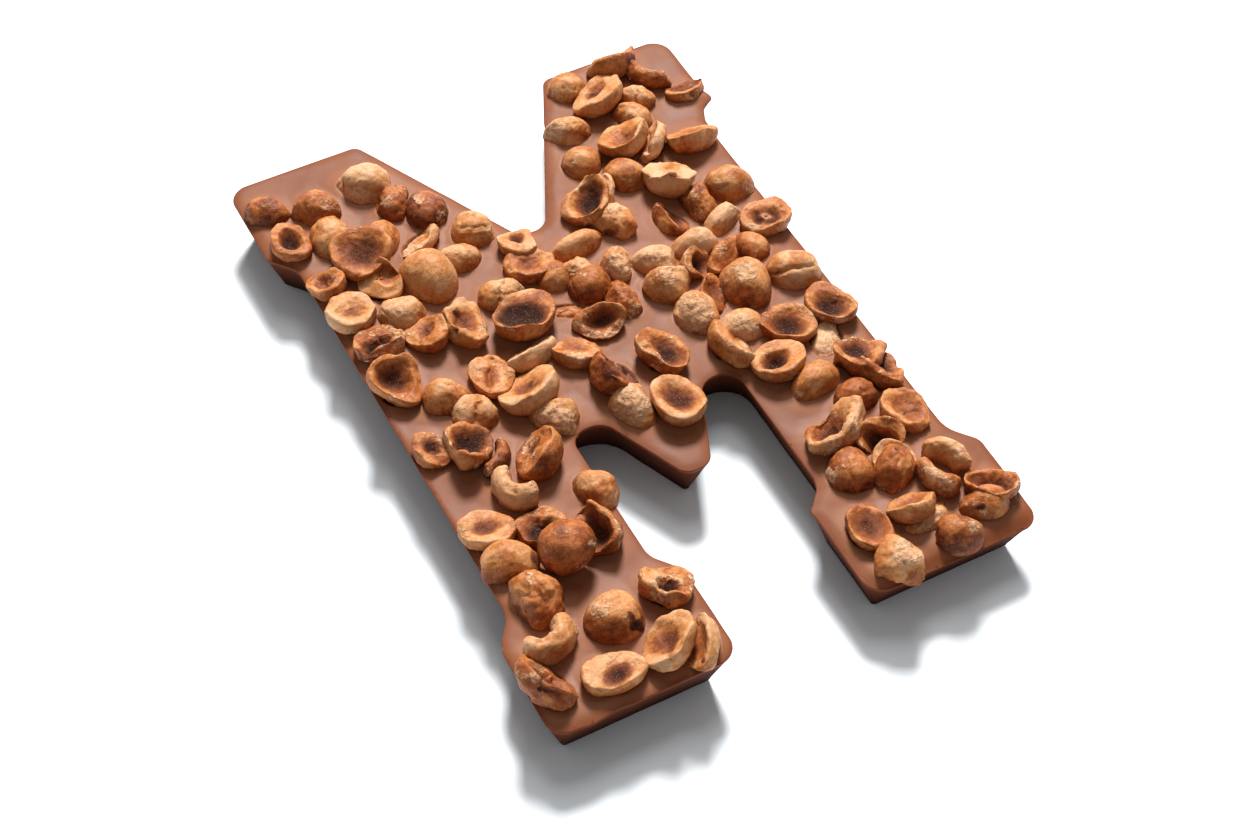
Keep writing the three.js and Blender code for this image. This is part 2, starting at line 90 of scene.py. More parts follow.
# Where the poured rim isn't true: X, Y, how far it stands out and over what length
RIM_MARKS = [
    (17.6, 69.2, -0.5, 1.2), (59.6, 61.2, 0.9, 2.0), (57.4, 57.2, -0.7, 1.8),
    (55.6, 51.6, 0.7, 2.2), (15.6, -60.3, 0.4, 1.2), (20.2, -56.8, -0.4, 1.2),
    (-59.4, -60.3, -0.5, 1.3), (-50.5, -85, 0.5, 2.5), (-44, -85, -0.3, 2.0),
]

# The poured top by a nut: how high above it a nut's waterline is and up or down from there,
# how far the narrow and the wide climb of the chocolate reach and how high they go, how deep
# it dips under a hollowed nut, and in how many sectors a waterline is measured
WATERLINE = 0.2
WATER_BAND = 0.7
NARROW_REACH = 0.9
WIDE_REACH = 3.0
NARROW_CLIMB = 0.12
WIDE_CLIMB = 0.42
DIP = 3.0
SECTORS = 24

# The nuts. How deep each form sits in the chocolate, how deep its body and its hollow are
# as shares of half its mean breadth, how uneven its outline is, how many facets it has, how
# rough it is, how far the hollow reaches towards the rim and how dark the hollow is painted
# by burn, partly its own browner inside and partly painted shade. A curl and a bow
# are slivers bent round by a sweep in degrees.
FORMS = {
    "dome": dict(sink=1.4, body=1.25, uneven=0.05, facets=3, rough=0.55),
    "lump": dict(sink=1.4, body=1.28, uneven=0.12, facets=6, rough=0.9),
    "half": dict(sink=2.0, body=0.95, hollow=0.3, uneven=0.06, facets=2, rough=0.6,
                 reach=0.78, burn=0.8),
    "cup": dict(sink=2.2, body=1.05, hollow=0.62, uneven=0.12, facets=4, rough=0.9,
                reach=0.88, burn=0.9),
    "chip": dict(sink=1.6, body=0.62, hollow=0.12, uneven=0.08, facets=3, rough=0.8,
                 reach=0.7, burn=0.3),
    "curl": dict(sink=1.5, sweep=185, facets=2, rough=0.8, burn=0.4),
    "bow": dict(sink=1.5, sweep=95, facets=2, rough=0.8, burn=0.4),
}
DOME_UP = 180
NUT_SIDES = 8
CURL_RINGS = 5
CURL_BREADTH = 0.27
CURL_HEIGHT = 1.5
CURL_SPREAD = 30
CURL_END = 0.35
BODY_POWER = 2.2
DARKEST_ROAST = 9
HALF_SEED = 500
FACET_SEED = 900
PATCHES = {"pale": 1, "dark": 0.6, "warm": 0.2, "cream": 0.25}
TURNS = 72
ANY_TURN = 6.3
FULL_TURN = 6.283
SAME_POINT = 0.03

# One line for each nut: form, roast from 0 for cream to 9 for dark brown, X, Y, longer and
# shorter breadth of its cut face, the heading that it faces and how far the cut face leans
# from straight up, which a nut without that number has downwards. Then its marks, each placed
# in the nut's own picture, from -1 to 1 to the right and up, with its size in the same
# measure: pale, dark, warm and cream patches (right, up, size, strength), dents and knobs
# (right, up, size, millimetres), slits (from right and up, to right and up, breadth,
# millimetres), bites (right, up, size) and cuts (angle, how far out). A bowl gives the
# hollow's reach, its millimetres, how dark the hollow is painted, by its own browner inside
# and by painted shade, and where its middle is (right, up), burn how dark the hollow
# of a nut without a bowl is painted the same way, lumpy how lumpy a nut is and up how far
# others hold it.
# The nuts at -18.6, 6.4 and at 44.1, -20.2 have the palest roast, and the second a broad cream
# patch too, as painted light on nuts that lie in shade.
NUTS = """
dome 6 -53.7 73.4 11 8.8 60; dark -.75 -.3 .5; pale .1 .5 .3 .6; pale .5 -.1 .2 .5
dome 5 -43.1 69 12.8 9.6 60; pale .5 .3 .35; dark 0 0 .25 .3
dome 1 -29.4 70.8 14.3 11 75; dent -.1 -.3 .4 .5; slit -.75 .3 -.6 -.6 .1 .6; pale -.1 -.45 .5 .7;
  slit -.5 0 .7 -.3 .06 .4
half 4 -52.7 61.5 11.2 10.3 0 8; bowl .62 2.8 1.6 0 .15; lumpy .7
dome 3 -43.5 59.2 11.6 10.8 3; warm -.6 .3 .3; warm .6 -.4 .3
half 5 -40.7 48.6 15.1 13.3 200 15; up 1.2; bowl .92 1.8 1 .05 .1; pale .1 -.5 .15 .5
dome 4 -33 53.4 10.5 9 330; lumpy .6; warm .2 -.2 .5
lump 5 -26 63.2 10.7 9 5; pale 0 .1 .4; cut 80 .85
dome 7 -19.9 56.6 11.2 11 5; pale .7 -.3 .3; pale -.4 .6 .3; dark .05 0 .3 .4
cup 4 -50.9 45.9 9.2 9 120 25; pale .3 .2 .4; dark -.3 .1 .2; bowl .72 2 .5; lumpy .6
chip 0 -26.1 48.2 11.4 7.8 125 40; burn 0; warm .4 .5 .4; pale -.5 -.3 .5; dent .35 .45 .25 .6
half 1 -48.9 35 12.6 10.8 60 10; bowl .7 .9 .8; slit -.1 .05 .35 .2 .1 .5; cream -.6 -.5 .4
cup 3 -39.8 40.4 11.2 10.4 205 30; bowl .6 1.8 .35 .25 .2; cream -.4 -.5 .6; cut 135 .7;
  warm .4 .4 .4; lumpy .4
dome 3 -28.7 36.8 14.7 13 1; up 1; lumpy .45; cream .2 .2 .8 .1
dome 2 -38.9 30.1 10.9 9.8 75; pale 0 0 .5 .5; slit -.7 .3 -.3 -.4 .05 .25
cup 5 -47.4 24.2 13.6 9.5 100 20; bowl .6 3 2 -.1 0; warm -.5 -.5 .4; knob .6 .2 .25 .6;
  knob -.1 .75 .2 .5; pale .6 0 .3 .5
half 4 -36.8 21.7 11.2 10.2 135 20; slit 0 .1 -.45 -.45 .1 .7; slit 0 .1 .35 .5 .1 .5;
  bowl .6 .7 .8; dark .95 .2 .2 .5
cup 3 -27.1 19.8 14.4 9.8 0 20; bite .1 1 .3; bite -1 .2 .3; slit -.35 .4 -.3 -.2 .15 .8;
  bowl .7 1.8 .8; cream -.4 -.6 .4
cup 4 -48.4 10.8 13 12.6 300 22; bowl .75 3.5 1.2 -.05 .1; bite 0 1.1 .3; cream -.5 -.5 .4;
  lumpy .6
dome 4 -40.5 3.1 11.2 10.4 60; bite .6 -.75 .4; cream -.3 .5 .4; warm .3 .1 .4
half 3 -29.2 3.2 11.5 11.3 0 3; slit 0 .8 0 -.5 .13 .9; warm 0 .1 .4; dark -.35 .3 .2;
  bowl .5 .4 .6; bite 0 1.05 .15
dome 2 -36.6 -3.7 11 10.4 60; slit .2 .7 -.2 -.7 .12 .8; cream -.5 .3 .5; warm .6 -.1 .4
cup 6 -42 -11.6 12.5 12 20 25; dark .4 .35 .5 1; cream -.7 -.3 .35; cream -.1 -.8 .3; burn 1.7
half 5 -50.1 -8.9 11.5 7.8 0 5; pale .2 .2 .5; dark .1 -.1 .25; bowl .6 .8 1.3; knob -.5 -.1 .3 .6
bow 7 -38.4 -17 13 7 315; pale -.4 -.6 .4; lumpy .6
half 5 -31.2 -20.5 13.8 12.6 135 50; bite .3 .8 .35; slit -.6 .2 -.6 -.1 .15 .8; pale -.5 .3 .5;
  warm .5 -.4 .5; bowl .4 .3 .9
curl 2 -38.6 -27.2 13.2 10.2 205; slit .1 .5 .1 -.1 .12 .8; dark .1 .2 .12
half 3 -49 -33.9 13 9.5 75 5; bowl .65 .8 1; lumpy .7
half 5 -38.3 -38.1 11.1 10 90 10; bowl .9 2.4 1.7 0 -.1; cream -.6 .6 .25; cream .6 .5 .25
dome 4 -22.9 -34.8 10.8 9.8 3; pale .3 -.3 .3; cream -.3 .4 .4
dome 4 -48.3 -43.2 14.2 9.6 65; dark .75 .3 .2 1.1; slit .2 -.2 .6 -.5 .05 .3; cut 190 .85
dome 6 -36.4 -46.5 12.4 12.4 60 130; up .8; lumpy .5; pale .9 .1 .15; pale .5 -.7 .3 .6;
  warm -.3 -.2 .6 .1
cup 6 -29.3 -44.9 14.4 9.8 165 35; bowl .9 4 1.1; cream -.6 .6 .3; cream .7 .1 .25
lump 5 -47.3 -54.1 13.4 12.2 60; slit -.7 .3 .7 .2 .06 .3; slit -.7 -.1 .7 -.2 .06 .3; cut 180 .8;
  dark -.9 0 .3; cut 10 .85
curl 2 -50.4 -64.9 13.8 10.2 285; slit -.1 .6 -.1 .1 .12 .7; pale 0 .5 .4; warm .3 -.3 .5
cup 5 -53.8 -73.2 13.6 10.8 20 55; pale -.4 .4 .3; bowl .85 3 1.6 0 .1
dome 4 -35.3 -65.8 13.3 12.3 5; pale -.5 .4 .4; dark .8 -.1 .22 1.2; dark .6 .1 .15 .8; lumpy .8;
  warm .1 -.3 .5
cup 4 -21.7 -63.5 11.2 12 45 25; bowl .55 2.5 2 .1 .2; cream -.4 .5 .3; warm 0 -.5 .4;
  dark .15 -.6 .1 1
half 3 -42 -77.9 13.9 10 90 5; bowl .65 .8 1.3 .1 .1; lumpy .5; bite 0 1.05 .2; pale -.1 .7 .3 .6
half 2 -29.3 -76.8 14.8 11.7 135 38; slit .1 .3 -.1 -.5 .15 .4; bowl .8 1.2 1; warm .7 .3 .4
half 2 -23.2 -79.5 13 8.5 150 55; dark 0 -.5 .15 1; bowl .7 1 .4
dome 2 -19.9 39.6 11 8 70; pale -.3 .3 .4 .6; warm .4 -.2 .4
dome 2 -12.9 46 11.2 10.4 0; slit -.6 .1 .6 .2 .05 .3; slit -.5 -.3 .5 -.2 .05 .3; warm .5 -.6 .4;
  pale .8 .1 .3
half 2 -5.7 37 9.5 8.8 60 8; up .8; bowl .5 1.3 1.4 0 .35; lumpy .7; cut 20 .85
half 4 -6.5 29.5 11.8 10 90 12; dark -.1 .3 .25; bowl .6 1 .6; cream .7 .2 .25
lump 2 -16.3 24.6 10.8 9.9 90; slit 0 1 0 -.1 .1 .8; pale .3 .2 .4 .5; dark -.9 0 .25 .4
half 5 -15.1 14.8 15.1 14.7 90 16; up 1.2; bowl .92 3 2.3 -.1 .05; cream 0 .95 .2; cream -.6 .6 .2
chip 5 -3.9 13.8 10.4 4.4 62 180; cream 0 .6 .3; burn .6
half 0 -18.6 6.4 14.3 7.8 100 50; cream 0 .6 .4; pale 0 .5 .3; bowl .6 .5 0; warm 0 -.4 .4 .1
half 3 -8.8 1.6 11.6 9.2 60 20; bite 0 1.05 .25; pale 0 -.3 .5; bowl .6 .5 .5; warm -.7 .1 .3
half 2 -24.1 -4 16 12.6 110 35; bowl .75 1.3 .8; dark .1 .15 .13 1; lumpy .6
lump 2 -21.4 -12.7 10.6 10.6 70; pale 0 0 .9; slit -.5 -.2 .3 -.3 .05 .3
cup 7 -3.8 -8.7 13 10.8 10 50; bowl .92 3.5 1.8 .3 0; dark .5 .1 .3 1.3; warm -.2 .2 .5 .3
lump 2 -5 -17.8 11.4 10.5 0; pale 0 .1 .9; cream 0 -.6 .35; lumpy .6; slit -.4 -.3 .5 -.35 .08 .4
half 3 4.2 -22.4 13.8 12.5 30 8; up .6; bowl .78 1.9 1.2 0 .1; cream .4 -.7 .35; bite .2 1.1 .15;
  bite .85 .75 .2; lumpy .7
cup 5 8.1 -8.4 13.2 11.3 0 16; up .8; bowl .75 2 1.2 .25 .1; cream -.7 .2 .4; pale -.6 .3 .3 .6;
  pale -.3 -.75 .3; lumpy .7
cup 5 -.5 5.9 12 9 235 28; dark .1 .1 .4 .7; cream -.7 -.2 .35; cream .3 -.7 .4; warm .7 0 .3;
  lumpy .6; bowl .68 2.8 1 .1 .1
lump 5 7.6 10.4 12 8 20; warm -.4 .4 .5; dark -.3 .2 .3 .4; pale .5 -.4 .5
lump 2 2.5 22.7 9.6 8.4 90; pale 0 0 .6 .7; slit -.5 0 .4 .2 .05 .3
dome 6 3.2 17.9 10.4 10.1 75; up .8; lumpy .5; pale -.3 .5 .3 .7; slit -.75 .2 -.5 -.4 .08 .4;
  dark -.8 -.3 .3 .5
lump 2 11.8 21.2 9.6 8.2 20; pale 0 0 .9; knob 0 .6 .3 .6
dome 3 6.5 30.3 13.6 7 95; lumpy .5
lump 2 17.5 33 11.8 10.2 0; dark 0 -.45 .35 .9; warm .7 0 .3; pale -.3 .4 .5 .5
dome 3 29 78.2 10.2 9.6 60; slit -.3 .2 -.2 -.5 .05 .25; pale -.3 -.1 .5 .5;
  slit .35 .7 .4 -.1 .08 .4; warm .7 0 .3
half 4 42.1 81.3 15 10.8 95 50; bowl .8 1.4 .45; pale 0 -.1 .2 .7; warm .75 .2 .3; lumpy .7
half 3 33.2 70.9 15.5 10.8 120 28; up 1; bowl .5 1.5 1 -.15 .2; pale -.25 .1 .2; lumpy .6
dome 2 42.7 67.6 10.9 7.5 45; slit .05 .8 0 -.6 .1 .6; pale .5 0 .4 .5; warm -.5 -.2 .4
bow 5 48.7 72.8 16 8.2 215; dark .9 .5 .12 1; cream .8 0 .3; warm -.5 0 .5; lumpy .7
cup 5 54.9 65.1 10.2 7.3 90 25; pale .2 -.5 .35; dark .35 -.35 .2; bite -.2 1 .3;
  dark -.05 -.5 .08 1; bowl .75 1.6 .9; lumpy .6
dome 1 22.3 64.8 12 8 65; pale -.4 0 .6; warm .5 0 .5 .3; slit .75 -.2 .8 -.7 .06 .4
dome 2 38.5 62.4 11.2 7.8 45; pale 0 0 .4 .6; warm -.7 0 .3
half 3 32 55.7 15.2 11.1 110 30; up .6; bowl .7 2.1 .65 0 .05; bite .1 .98 .18; lumpy .7;
  dark 0 -.1 .2 .4
chip 1 37.5 51.8 14.3 8.4 140 60; burn .2; pale .2 0 .5 .6; warm -.4 .5 .4;
  slit -.2 .9 -.3 -.5 .12 .6
half 3 47.4 49.4 13.2 10.8 80 40; bowl .8 .8 .45 0 .4; warm 0 -.7 .6; lumpy .5; dark 0 .55 .12 .4
dome 5 20 53.6 10.9 9.8 60; pale -.3 .1 .25; lumpy .6; cream 0 .6 .5; slit -.8 -.3 .9 -.4 .05 .25
dome 4 27 45.2 11.4 10.4 60; slit 0 -.1 .25 -.4 .05 .3; pale .15 -.25 .15; lumpy .6;
  cream -.4 .4 .3
cup 4 13.7 40 15.2 10.7 150 22; up .6; bowl .85 4 1.5 0 .05; cream -.5 -.6 .4; cream -.5 .6 .3
chip 0 19.2 42.5 10 8.4 160 60; burn .1; cream 0 .5 .5; pale 0 0 .6 .6; lumpy .7
half 1 36.1 39.2 12.5 14.5 60 30; warm .1 .6 .4; cream -.3 -.4 .5; warm .75 -.5 .3;
  bite -1.1 .15 .3; bowl .6 .4 .15; knob .1 .45 .45 1.4; slit -.8 0 .8 0 .1 .6; pale -.1 0 .3 .6;
  dark 0 .3 .15 .4
dome 4 47.7 31.4 12.4 10.8 60; lumpy .6; slit -.8 -.3 -.1 0 .08 .4; pale -.3 .05 .3;
  bite .65 -.8 .15; pale .8 -.2 .25; cream -.4 .5 .3
cup 6 30.7 27.6 10.4 7 5 45; lumpy .4; bowl .7 1.8 1.3; cream -.7 -.4 .6 .4
lump 6 38.8 28.9 11 9.5 0; dark -.7 -.1 .35 .5; pale -.3 .5 .25; pale 0 -.4 .3 .6;
  knob .1 .8 .3 .6
dome 1 41.4 22.4 12.8 6.8 120; lumpy .7; pale -.2 0 .3 .5; cut 60 .85
half 4 49.9 17.3 12.8 11.4 90 5; bowl .68 1.9 1.4 0 .05; cream 0 -.05 .25 .6; knob 0 -.05 .3 .35;
  pale -.5 -.4 .45; pale .6 -.4 .4
dome 0 20.5 17.4 12 8.6 60; pale .1 .3 .5; warm -.6 -.5 .5; warm .8 .1 .3
dome 1 31.6 18.1 12 8.5 90; lumpy .5; pale .4 .2 .4 .4
lump 3 19.2 9.8 13 9.8 60; up .5; pale .1 .3 .45; lumpy .6; cut 90 .8; cut 210 .85;
  slit .1 -.15 .15 -.4 .1 .3
cup 5 28.7 11.7 9.7 8 320 40; lumpy .4; bowl .72 2.2 1.3 .3 -.1; pale -.5 .5 .35; cream -.5 .3 .5
half 4 36.1 11.1 11.8 7 300 35; dark -.9 0 .2 1; slit -.6 .6 -.85 -.5 .1 .4; bowl .5 .1 .1;
  lumpy .7; pale -.2 .3 .4 .6
dome 5 42.7 11.5 10.2 8.2 40; lumpy .5; cream .4 .5 .4; warm -.4 -.1 .4
dome 2 20.9 -.8 11.9 10.8 0; pale 0 0 .9; dark .8 -.6 .2 .3
dome 4 35.6 1.5 13.8 12.3 5; up .6; pale -.1 .4 .5 1.3; cream -.1 .4 .6; dent -.1 .45 .22 .4;
  warm 0 -.4 .6; lumpy .6; dark .75 -.45 .15 .4
chip 5 27.8 2.5 11.8 7.2 330 40; dark .2 -.2 .5; warm -.3 .4 .3 -.2
dome 3 47.4 .2 14.2 10.4 75; slit -.9 -.15 .1 .15 .1 .9; slit .1 .15 .6 .4 .06 .5;
  pale .1 -.6 .4 .7; cream .2 -.4 .5; warm -.8 -.3 .25; lumpy .7
half 4 24.2 -12.8 14.5 10 10 50; cream .6 -.1 .5; pale .6 -.1 .4; warm -.5 0 .5; bowl .5 .1 .1;
  lumpy .6; slit .1 .7 .1 -.7 .05 .2
dome 1 28.6 -8.9 11.4 9.4 60; pale 0 -.1 .6; warm -.4 .85 .3; lumpy .7
half 5 37.5 -13.9 12.7 11.2 60 5; bowl .85 2.2 1.3 0 0; bite .45 1 .2; pale -.1 -.55 .15 .6;
  lumpy .7
half 5 49.7 -12.8 12.7 11.4 45 8; bowl .8 2.4 1.4 -.1 -.1; cream .8 -.1 .35; pale .3 -.75 .3;
  lumpy .8
half 3 29.7 -22.6 13.4 10.8 100 12; up .8; bowl .6 3 1.6 -.1 .05; lumpy .4; warm .2 -.6 .4 .1
chip 0 44.1 -20.2 13.6 7 140 180; burn 0; lumpy .8; pale 0 -.2 .5 .5; cream 0 0 .8
dome 3 35 -30.5 13.4 8.8 110; lumpy .5; pale -.75 -.5 .15; slit .8 .9 .85 -.1 .05 .3
cup 5 47.2 -28.8 12.3 12.2 45 18; bowl .75 1.8 1.5; slit .1 -.2 .35 -.1 .2 .4; cream .4 .3 .3;
  lumpy .9; dark .1 -.25 .3
cup 5 50 -34.6 11 9.8 20 25; bowl .8 1.6 1.3; pale -.1 -.1 .15; bite -1 .5 .3; cream -.6 -.2 .3;
  slit .1 .3 .3 -.8 .1 .5; lumpy .9
dome 7 40.4 -38.2 11.2 8.8 70; lumpy .7; slit .3 .3 .8 .6 .1 .3; pale -.5 0 .1 .7;
  dark .2 .5 .08 1
cup 4 30.8 -44.6 15.2 10.3 120 28; up .6; bowl .85 4 1.1 -.25 0; pale .5 -.1 .4; pale -.1 -.75 .3;
  cream .7 .2 .4
cup 5 38.4 -51.7 10.5 10.2 225 30; bowl .85 4 1.2 0 -.25; lumpy .5; warm 0 .5 .5 -.1
half 4 48.1 -47.1 12 10.8 0 12; bowl .8 1.5 .6 .1 .2; bite .65 1.05 .15; bite 1.1 -.3 .3;
  pale -.1 -.1 .2; lumpy 1.2; slit 0 -.2 .4 -.1 .08 .4
dome 6 28.4 -55.8 12.1 10.9 6; pale -.8 -.1 .35; lumpy .6; slit -.2 .6 .1 -.6 .07 .3;
  dark .85 -.3 .15; cream .1 .6 .4 .1
dome 5 37.1 -59.7 11.8 9.7 140; up .8; knob 0 .8 .3 .5; dark .1 .8 .12 1;
  slit .1 .3 -.2 -.6 .08 .4; slit -.3 .4 -.6 -.4 .08 .3; pale -.6 -.6 .3 .7
bow 2 48 -62.9 15.2 9.5 35; pale .4 .1 .35; warm -.4 .3 .4; lumpy .7; burn 0
bow 5 44 -66.9 15 9 205; pale -.2 .2 .6; cream -.3 .3 .5; lumpy .7; dark .3 .5 .4 .5;
  pale .2 -.3 .4
half 5 23.7 -70.9 13.6 9 0 5; bowl .88 1.6 1 0 .1; pale 0 .15 .15 .5; lumpy .6; cream -.7 -.6 .3
half 3 34.4 -69.7 12 9.9 90 45; up .5; bowl .85 1.2 .6; lumpy .6; warm .3 -.6 .5; cut 95 .8
chip 2 36.8 -73.7 13.6 6.8 95 180; pale 0 0 .7; burn 0
cup 5 53.5 -73.3 11.4 11.8 60 22; pale .7 .2 .3; warm -.4 .4 .4; burn 1.4
dome 4 49.6 -76.6 12 8.8 70; dark -.2 0 .2 1; pale -.3 -.3 .6 .6; lumpy .8; warm .5 .3 .5
lump 3 24.8 -81.2 10.8 11.6 60; cream .3 .4 .7 .5; pale .3 .3 .6 1.2; warm -.6 -.3 .6;
  slit .1 0 .4 -.5 .12 .6; dark .05 .1 .13 .4; warm .7 -.6 .35; cut 250 .8; cut 0 .7
dome 6 40.1 -80.6 11.8 9.4 70; pale .5 .5 .4; cream .5 .5 .4; lumpy .6; cut 170 .8;
  warm -.3 -.3 .6 .1
dome 4 -2.6 24 9.4 8.6 5; lumpy .7
half 2 38.5 -57.3 9.4 8.9 242 15; bowl .7 1 .3; lumpy .5
"""


class Nut:
    """One nut, read from its line: its sizes, its form's values and its marks, as words with
    their numbers."""

    def __init__(self, number, line):
        head, *marks = line.split(";")
        form, *sizes = head.split()
        self.number = number
        sizes = [float(size) for size in sizes]
        self.roast, self.x, self.y, self.long, self.short, self.heading, *tilt = sizes
        self.tilt = tilt[0] if tilt else DOME_UP
        self.mean = (self.long + self.short) / 4
        words = [mark.split() for mark in marks]
        self.marks = [(word, [float(size) for size in rest]) for word, *rest in words]
        self.shape = FORMS[form]
        self.striped = form in ("dome", "half")
        self.sliver = "sweep" in self.shape
        self.hollowed = "hollow" in self.shape
        given = dict(self.marks)
        self.lift, = given.get("up", [0])
        self.lumpy, = given.get("lumpy", [1])
        self.bowl = given.get("bowl", [])
        self.burn, = self.bowl[2:3] or given.get("burn", [self.shape.get("burn", 0.5)])


nuts = [Nut(number, line) for number, line in
        enumerate(NUTS.strip().replace(";\n", ";").split("\n"), 1)]


def drawn(seed, count):
    """Draws between 0 and 1 that follow from a seed: each new state is the old one, its
    high half folded on its low half, times one large number and plus another."""
    state = (seed * 2654435761 + 12345) & 0xFFFFFFFF
    draws = []
    for _ in range(count):
        state = ((state ^ (state >> 15)) * 2246822519 + 374761393) & 0xFFFFFFFF
        draws.append((state ^ (state >> 13)) / 2 ** 32)
    return draws


LATTICE_SIZE = 32
LATTICE = np.random.default_rng(11).uniform(-1, 1, (LATTICE_SIZE,) * 3)


def lumps(points, size):
    """Soft values from -1 to 1 that rise and fall over a given size: random numbers on a
    cubic lattice, eased from corner to corner along each axis."""
    place = points / size
    low = np.floor(place).astype(int)
    part = place - low
    part = part ** 3 * (part * (part * 6 - 15) + 10)
    value = 0
    for corner in range(8):
        step = np.array([corner & 1, corner >> 1 & 1, corner >> 2 & 1])
        at = (low + step) % LATTICE_SIZE
        share = np.where(step == 1, part, 1 - part).prod(axis=-1)
        value = value + share * LATTICE[at[..., 0], at[..., 1], at[..., 2]]
    return value


def layers(points, *given):
    """Lumps of several sizes added up, each by its share, its size and the shift of its
    lattice."""
    return sum(share * lumps(points + shift, size) for share, size, shift in given)


def rise(low, high, value):
    """0 below low, 1 above high, eased between."""
    t = np.clip((value - low) / (high - low), 0, 1)
    return t * t * (3 - 2 * t)


def length(steps):
    return np.linalg.norm(steps, axis=-1)


def unit(steps):
    """Steps brought to length 1."""
    return steps / np.maximum(length(steps), 1e-9)[..., None]


def round_steps(count):
    """Angles once round, in equal steps."""
    return 2 * math.pi * np.arange(count) / count


def turned(points, first, second, degrees):
    """Points turned in the plane of two of their axes."""
    c, s = math.cos(math.radians(degrees)), math.sin(math.radians(degrees))
    moved = points.copy()
    moved[..., first] = c * points[..., first] - s * points[..., second]
    moved[..., second] = s * points[..., first] + c * points[..., second]
    return moved


def laid(points, nut):
    """A nut's own points turned to its heading and tilt, not yet at its place."""
    if nut.tilt != DOME_UP:
        points = turned(points, 1, 2, -nut.tilt)
    return turned(points, 0, 1, nut.heading - 90)


def half_wave(nut, turn):
    """How far the outline of a nut stands out at each turn: 1 plus a wave of two and a
    smaller one of three to the round."""
    first, second = drawn(nut.number, 2)
    uneven = nut.shape["uneven"]
    return (1 + uneven * np.sin(2 * turn + 2 * math.pi * first)
            + 0.7 * uneven * np.sin(3 * turn + 2 * math.pi * second))


def oval_rings(nut, radius, drop, turn):
    """Rings round a nut's own axis, each at a share of its breadth and at its height."""
    wave = half_wave(nut, turn)
    return np.stack([radius * np.cos(turn) * wave * nut.long / 2,
                     radius * np.sin(turn) * wave * nut.short / 2, drop + 0 * turn], -1)


def plain_half(nut):
    """The nut's main points: rings of eight round its own axis, under the cut face."""
    radius = np.array([0, 0.58, 0.93, 1])[:, None]
    drop = -nut.mean * nut.shape["body"] * np.array([1, 0.85, 0.42, 0])[:, None]
    points = oval_rings(nut, radius, drop, round_steps(NUT_SIDES))
    return points * [1, -1, -1] if nut.tilt == DOME_UP else points


def arc_rings(nut, along, breadth_share, turn, across):
    """Rings along a sliver's arc, thin at its ends: how far along each lies from -1 to 1, its
    breadth's share and how far its points lie across. The arc's radius follows from its
    sweep, which is drawn, and the sliver's length."""
    sweep = math.radians(nut.shape["sweep"] + CURL_SPREAD * drawn(nut.number, 1)[0])
    breadth = CURL_BREADTH * nut.short
    radius = (nut.long / 2 - breadth) / math.sin(min(sweep, math.pi) / 2)
    middle = radius * (1 + math.cos(sweep / 2)) / 2
    taper = (CURL_END + (1 - CURL_END) * np.sqrt(1 - along ** 4)) * breadth_share
    out = radius + breadth * taper * across
    angle = along * sweep / 2 + 0 * turn
    return np.stack([out * np.sin(angle), out * np.cos(angle) - middle,
                     CURL_HEIGHT * breadth * taper * np.sin(turn)], -1)


def plain_sliver(nut):
    """A curled sliver's main points: rings of eight along its arc."""
    along = (2 * np.arange(CURL_RINGS + 1) / CURL_RINGS - 1)[:, None]
    turn = round_steps(NUT_SIDES)
    return arc_rings(nut, along, 1, turn, np.cos(turn))


def main_points(nut):
    """The nut's main points where it lies, and the move that brings it there."""
    placed = laid(plain_sliver(nut) if nut.sliver else plain_half(nut), nut)
    height = THICKNESS - nut.shape["sink"] + nut.lift - placed[..., 2].min()
    move = np.array([nut.x, nut.y, height])
    return placed + move, move


def pole_closed(points):
    """A grid of rings with its first and last ring each brought to one point."""
    points[0] = points[0].mean(0)
    points[-1] = points[-1].mean(0)
    return points


def in_picture(points):
    """A nut's points in its own picture, from -1 to 1 to the right and up."""
    flat = points @ PICTURE
    low, high = flat.min((0, 1)), flat.max((0, 1))
    return (2 * flat - low - high) / (high - low)


